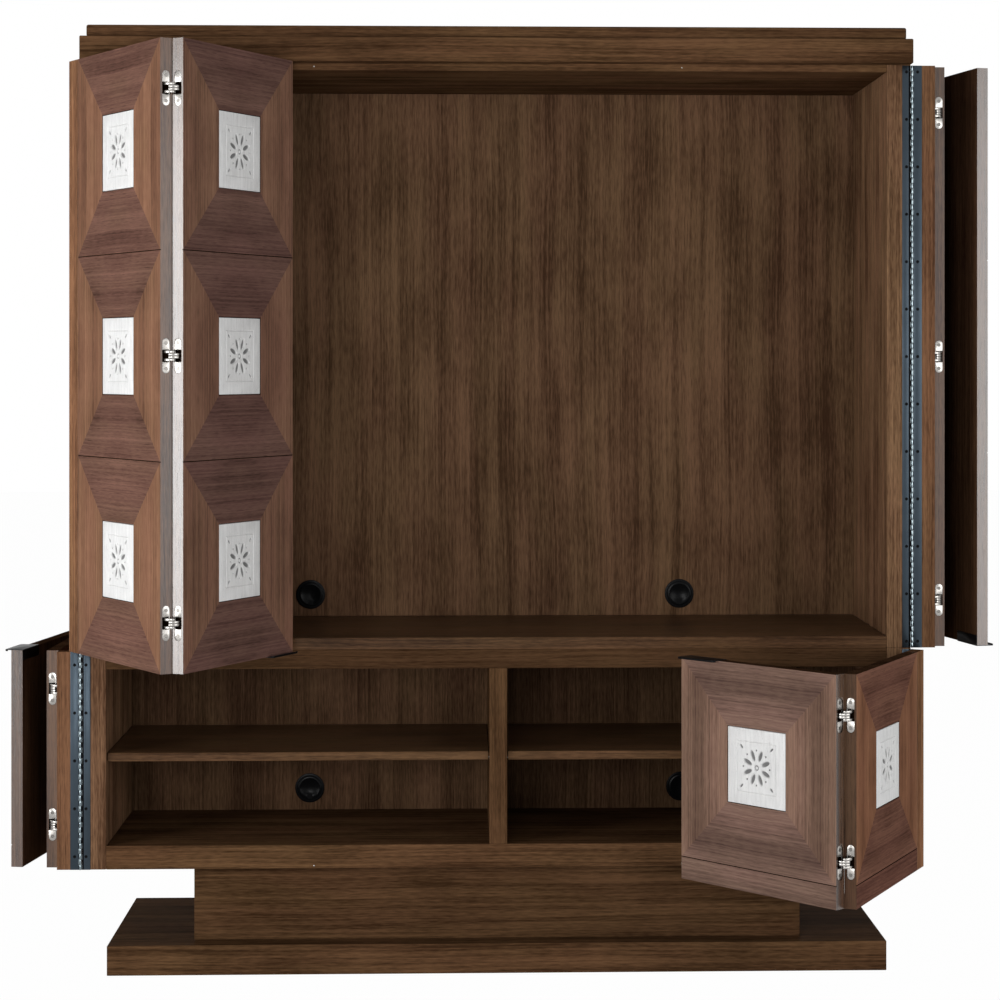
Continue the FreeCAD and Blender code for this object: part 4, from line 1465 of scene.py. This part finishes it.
class CABINET_OT_stage(CabinetOperator):
    """Floor, softboxes, world and camera"""

    bl_idname = "cabinet.stage"
    bl_label = "Stage"

    FLOOR_SIZE, FLOOR_COLOR, FLOOR_ROUGHNESS = 40, (0.86, 0.86, 0.86, 1.0), 0.9
    # Where the softboxes look.
    AIM = (0, 0, 1.1)

    def execute(self, context):
        scene = context.scene
        settings = scene.cabinet_stage
        scene.view_settings.view_transform = "Standard"
        self.make_floor(settings)
        self.make_world(scene, settings)
        self.make_softbox("left_softbox", (-3.9, -2.95, 1.2), (1.9, 2.4), settings.left_power)
        self.make_softbox("right_softbox", (3.5, -3.5, 1.3), (3.0, 2.6), settings.right_power)
        self.make_softbox("front_softbox", (-1.2, -6.2, 1.4), (2.0, 1.6), settings.front_power)
        data = bpy.data.cameras.new("camera")
        data.lens = settings.lens
        data.shift_x, data.shift_y = settings.shift
        camera = bpy.data.objects.new("camera", data)
        scene.collection.objects.link(camera)
        camera.location = settings.camera_place
        camera.rotation_euler = (math.pi / 2, 0, -settings.camera_turn)
        scene.camera = camera
        return {"FINISHED"}

    def seen(self, graph):
        """Whether a ray is a camera, glossy or transmission ray."""
        path = graph.add("ShaderNodeLightPath").outputs
        either = graph.math("MAXIMUM", path["Is Camera Ray"], path["Is Glossy Ray"])
        return graph.math("MAXIMUM", either, path["Is Transmission Ray"])

    def make_floor(self, settings):
        """A wide white floor that still takes the cabinet's shadow."""
        deselect()
        bpy.ops.mesh.primitive_plane_add(size=self.FLOOR_SIZE)
        floor = settle("floor")
        material, graph, shader = new_material("White floor")
        graph.feed(shader, {"Base Color": self.FLOOR_COLOR, "Roughness": self.FLOOR_ROUGHNESS})
        glow = graph.add("ShaderNodeEmission", {"Color": WHITE, "Strength": 1.0}).outputs[0]
        share = graph.math("MULTIPLY", self.seen(graph), settings.floor_white)
        mixed = graph.add("ShaderNodeMixShader", {0: share, 1: shader.outputs[0], 2: glow}).outputs[0]
        graph.feed(graph.tree.nodes["Material Output"], {"Surface": mixed})
        paint(floor, material)

    def make_world(self, scene, settings):
        """White where it is seen or mirrored, and a soft light from all round."""
        world = bpy.data.worlds.new("studio")
        scene.world = world
        world.use_nodes = True
        graph = Graph(world.node_tree)
        seen, light = (graph.add("ShaderNodeBackground", {"Color": WHITE, "Strength": strength}).outputs[0]
                       for strength in (1.0, settings.ambient))
        mixed = graph.add("ShaderNodeMixShader", {0: self.seen(graph), 1: light, 2: seen}).outputs[0]
        graph.feed(graph.tree.nodes["World Output"], {"Surface": mixed})

    def make_softbox(self, name, place, size, power):
        """A rectangular lamp that faces the cabinet's middle."""
        data = bpy.data.lights.new(name, "AREA")
        data.shape = "RECTANGLE"
        data.size, data.size_y = size
        data.energy = power
        lamp = bpy.data.objects.new(name, data)
        bpy.context.scene.collection.objects.link(lamp)
        lamp.location = place
        lamp.rotation_euler = (Vector(self.AIM) - Vector(place)).to_track_quat("-Z", "Y").to_euler()


STEPS = (
    CABINET_OT_carcass,
    CABINET_OT_crown,
    CABINET_OT_door_boards,
    CABINET_OT_tiles,
    CABINET_OT_piano_hinges,
    CABINET_OT_fold_hinges,
    CABINET_OT_pulls,
    CABINET_OT_grommets,
    CABINET_OT_studs,
    CABINET_OT_stage,
)


class CABINET_PT_looks(bpy.types.Panel):
    """Lists the steps and their settings"""

    bl_idname = "CABINET_PT_looks"
    bl_label = "Display Cabinet"
    bl_space_type = "VIEW_3D"
    bl_region_type = "UI"
    bl_category = "Cabinet"

    def draw(self, context):
        for step in STEPS:
            self.layout.operator(step.bl_idname)
        for pointer, group in GROUPS.items():
            box = self.layout.box()
            box.label(text=group.__doc__)
            for setting in group.__annotations__:
                box.prop(getattr(context.scene, pointer), setting)


CLASSES = (*GROUPS.values(), *STEPS, CABINET_PT_looks)


def register():
    """Makes the classes known and hangs the settings on the scene."""
    for item in CLASSES:
        bpy.utils.register_class(item)
    for pointer, group in GROUPS.items():
        setattr(bpy.types.Scene, pointer, PointerProperty(type=group))


def unregister():
    """Takes the settings and classes away again."""
    for pointer in GROUPS:
        delattr(bpy.types.Scene, pointer)
    for item in reversed(CLASSES):
        bpy.utils.unregister_class(item)


def main():
    """Makes the looks step by step."""
    register()
    for step in STEPS:
        area, name = step.bl_idname.split(".")
        getattr(getattr(bpy.ops, area), name)()


if __name__ == "__main__":
    main()
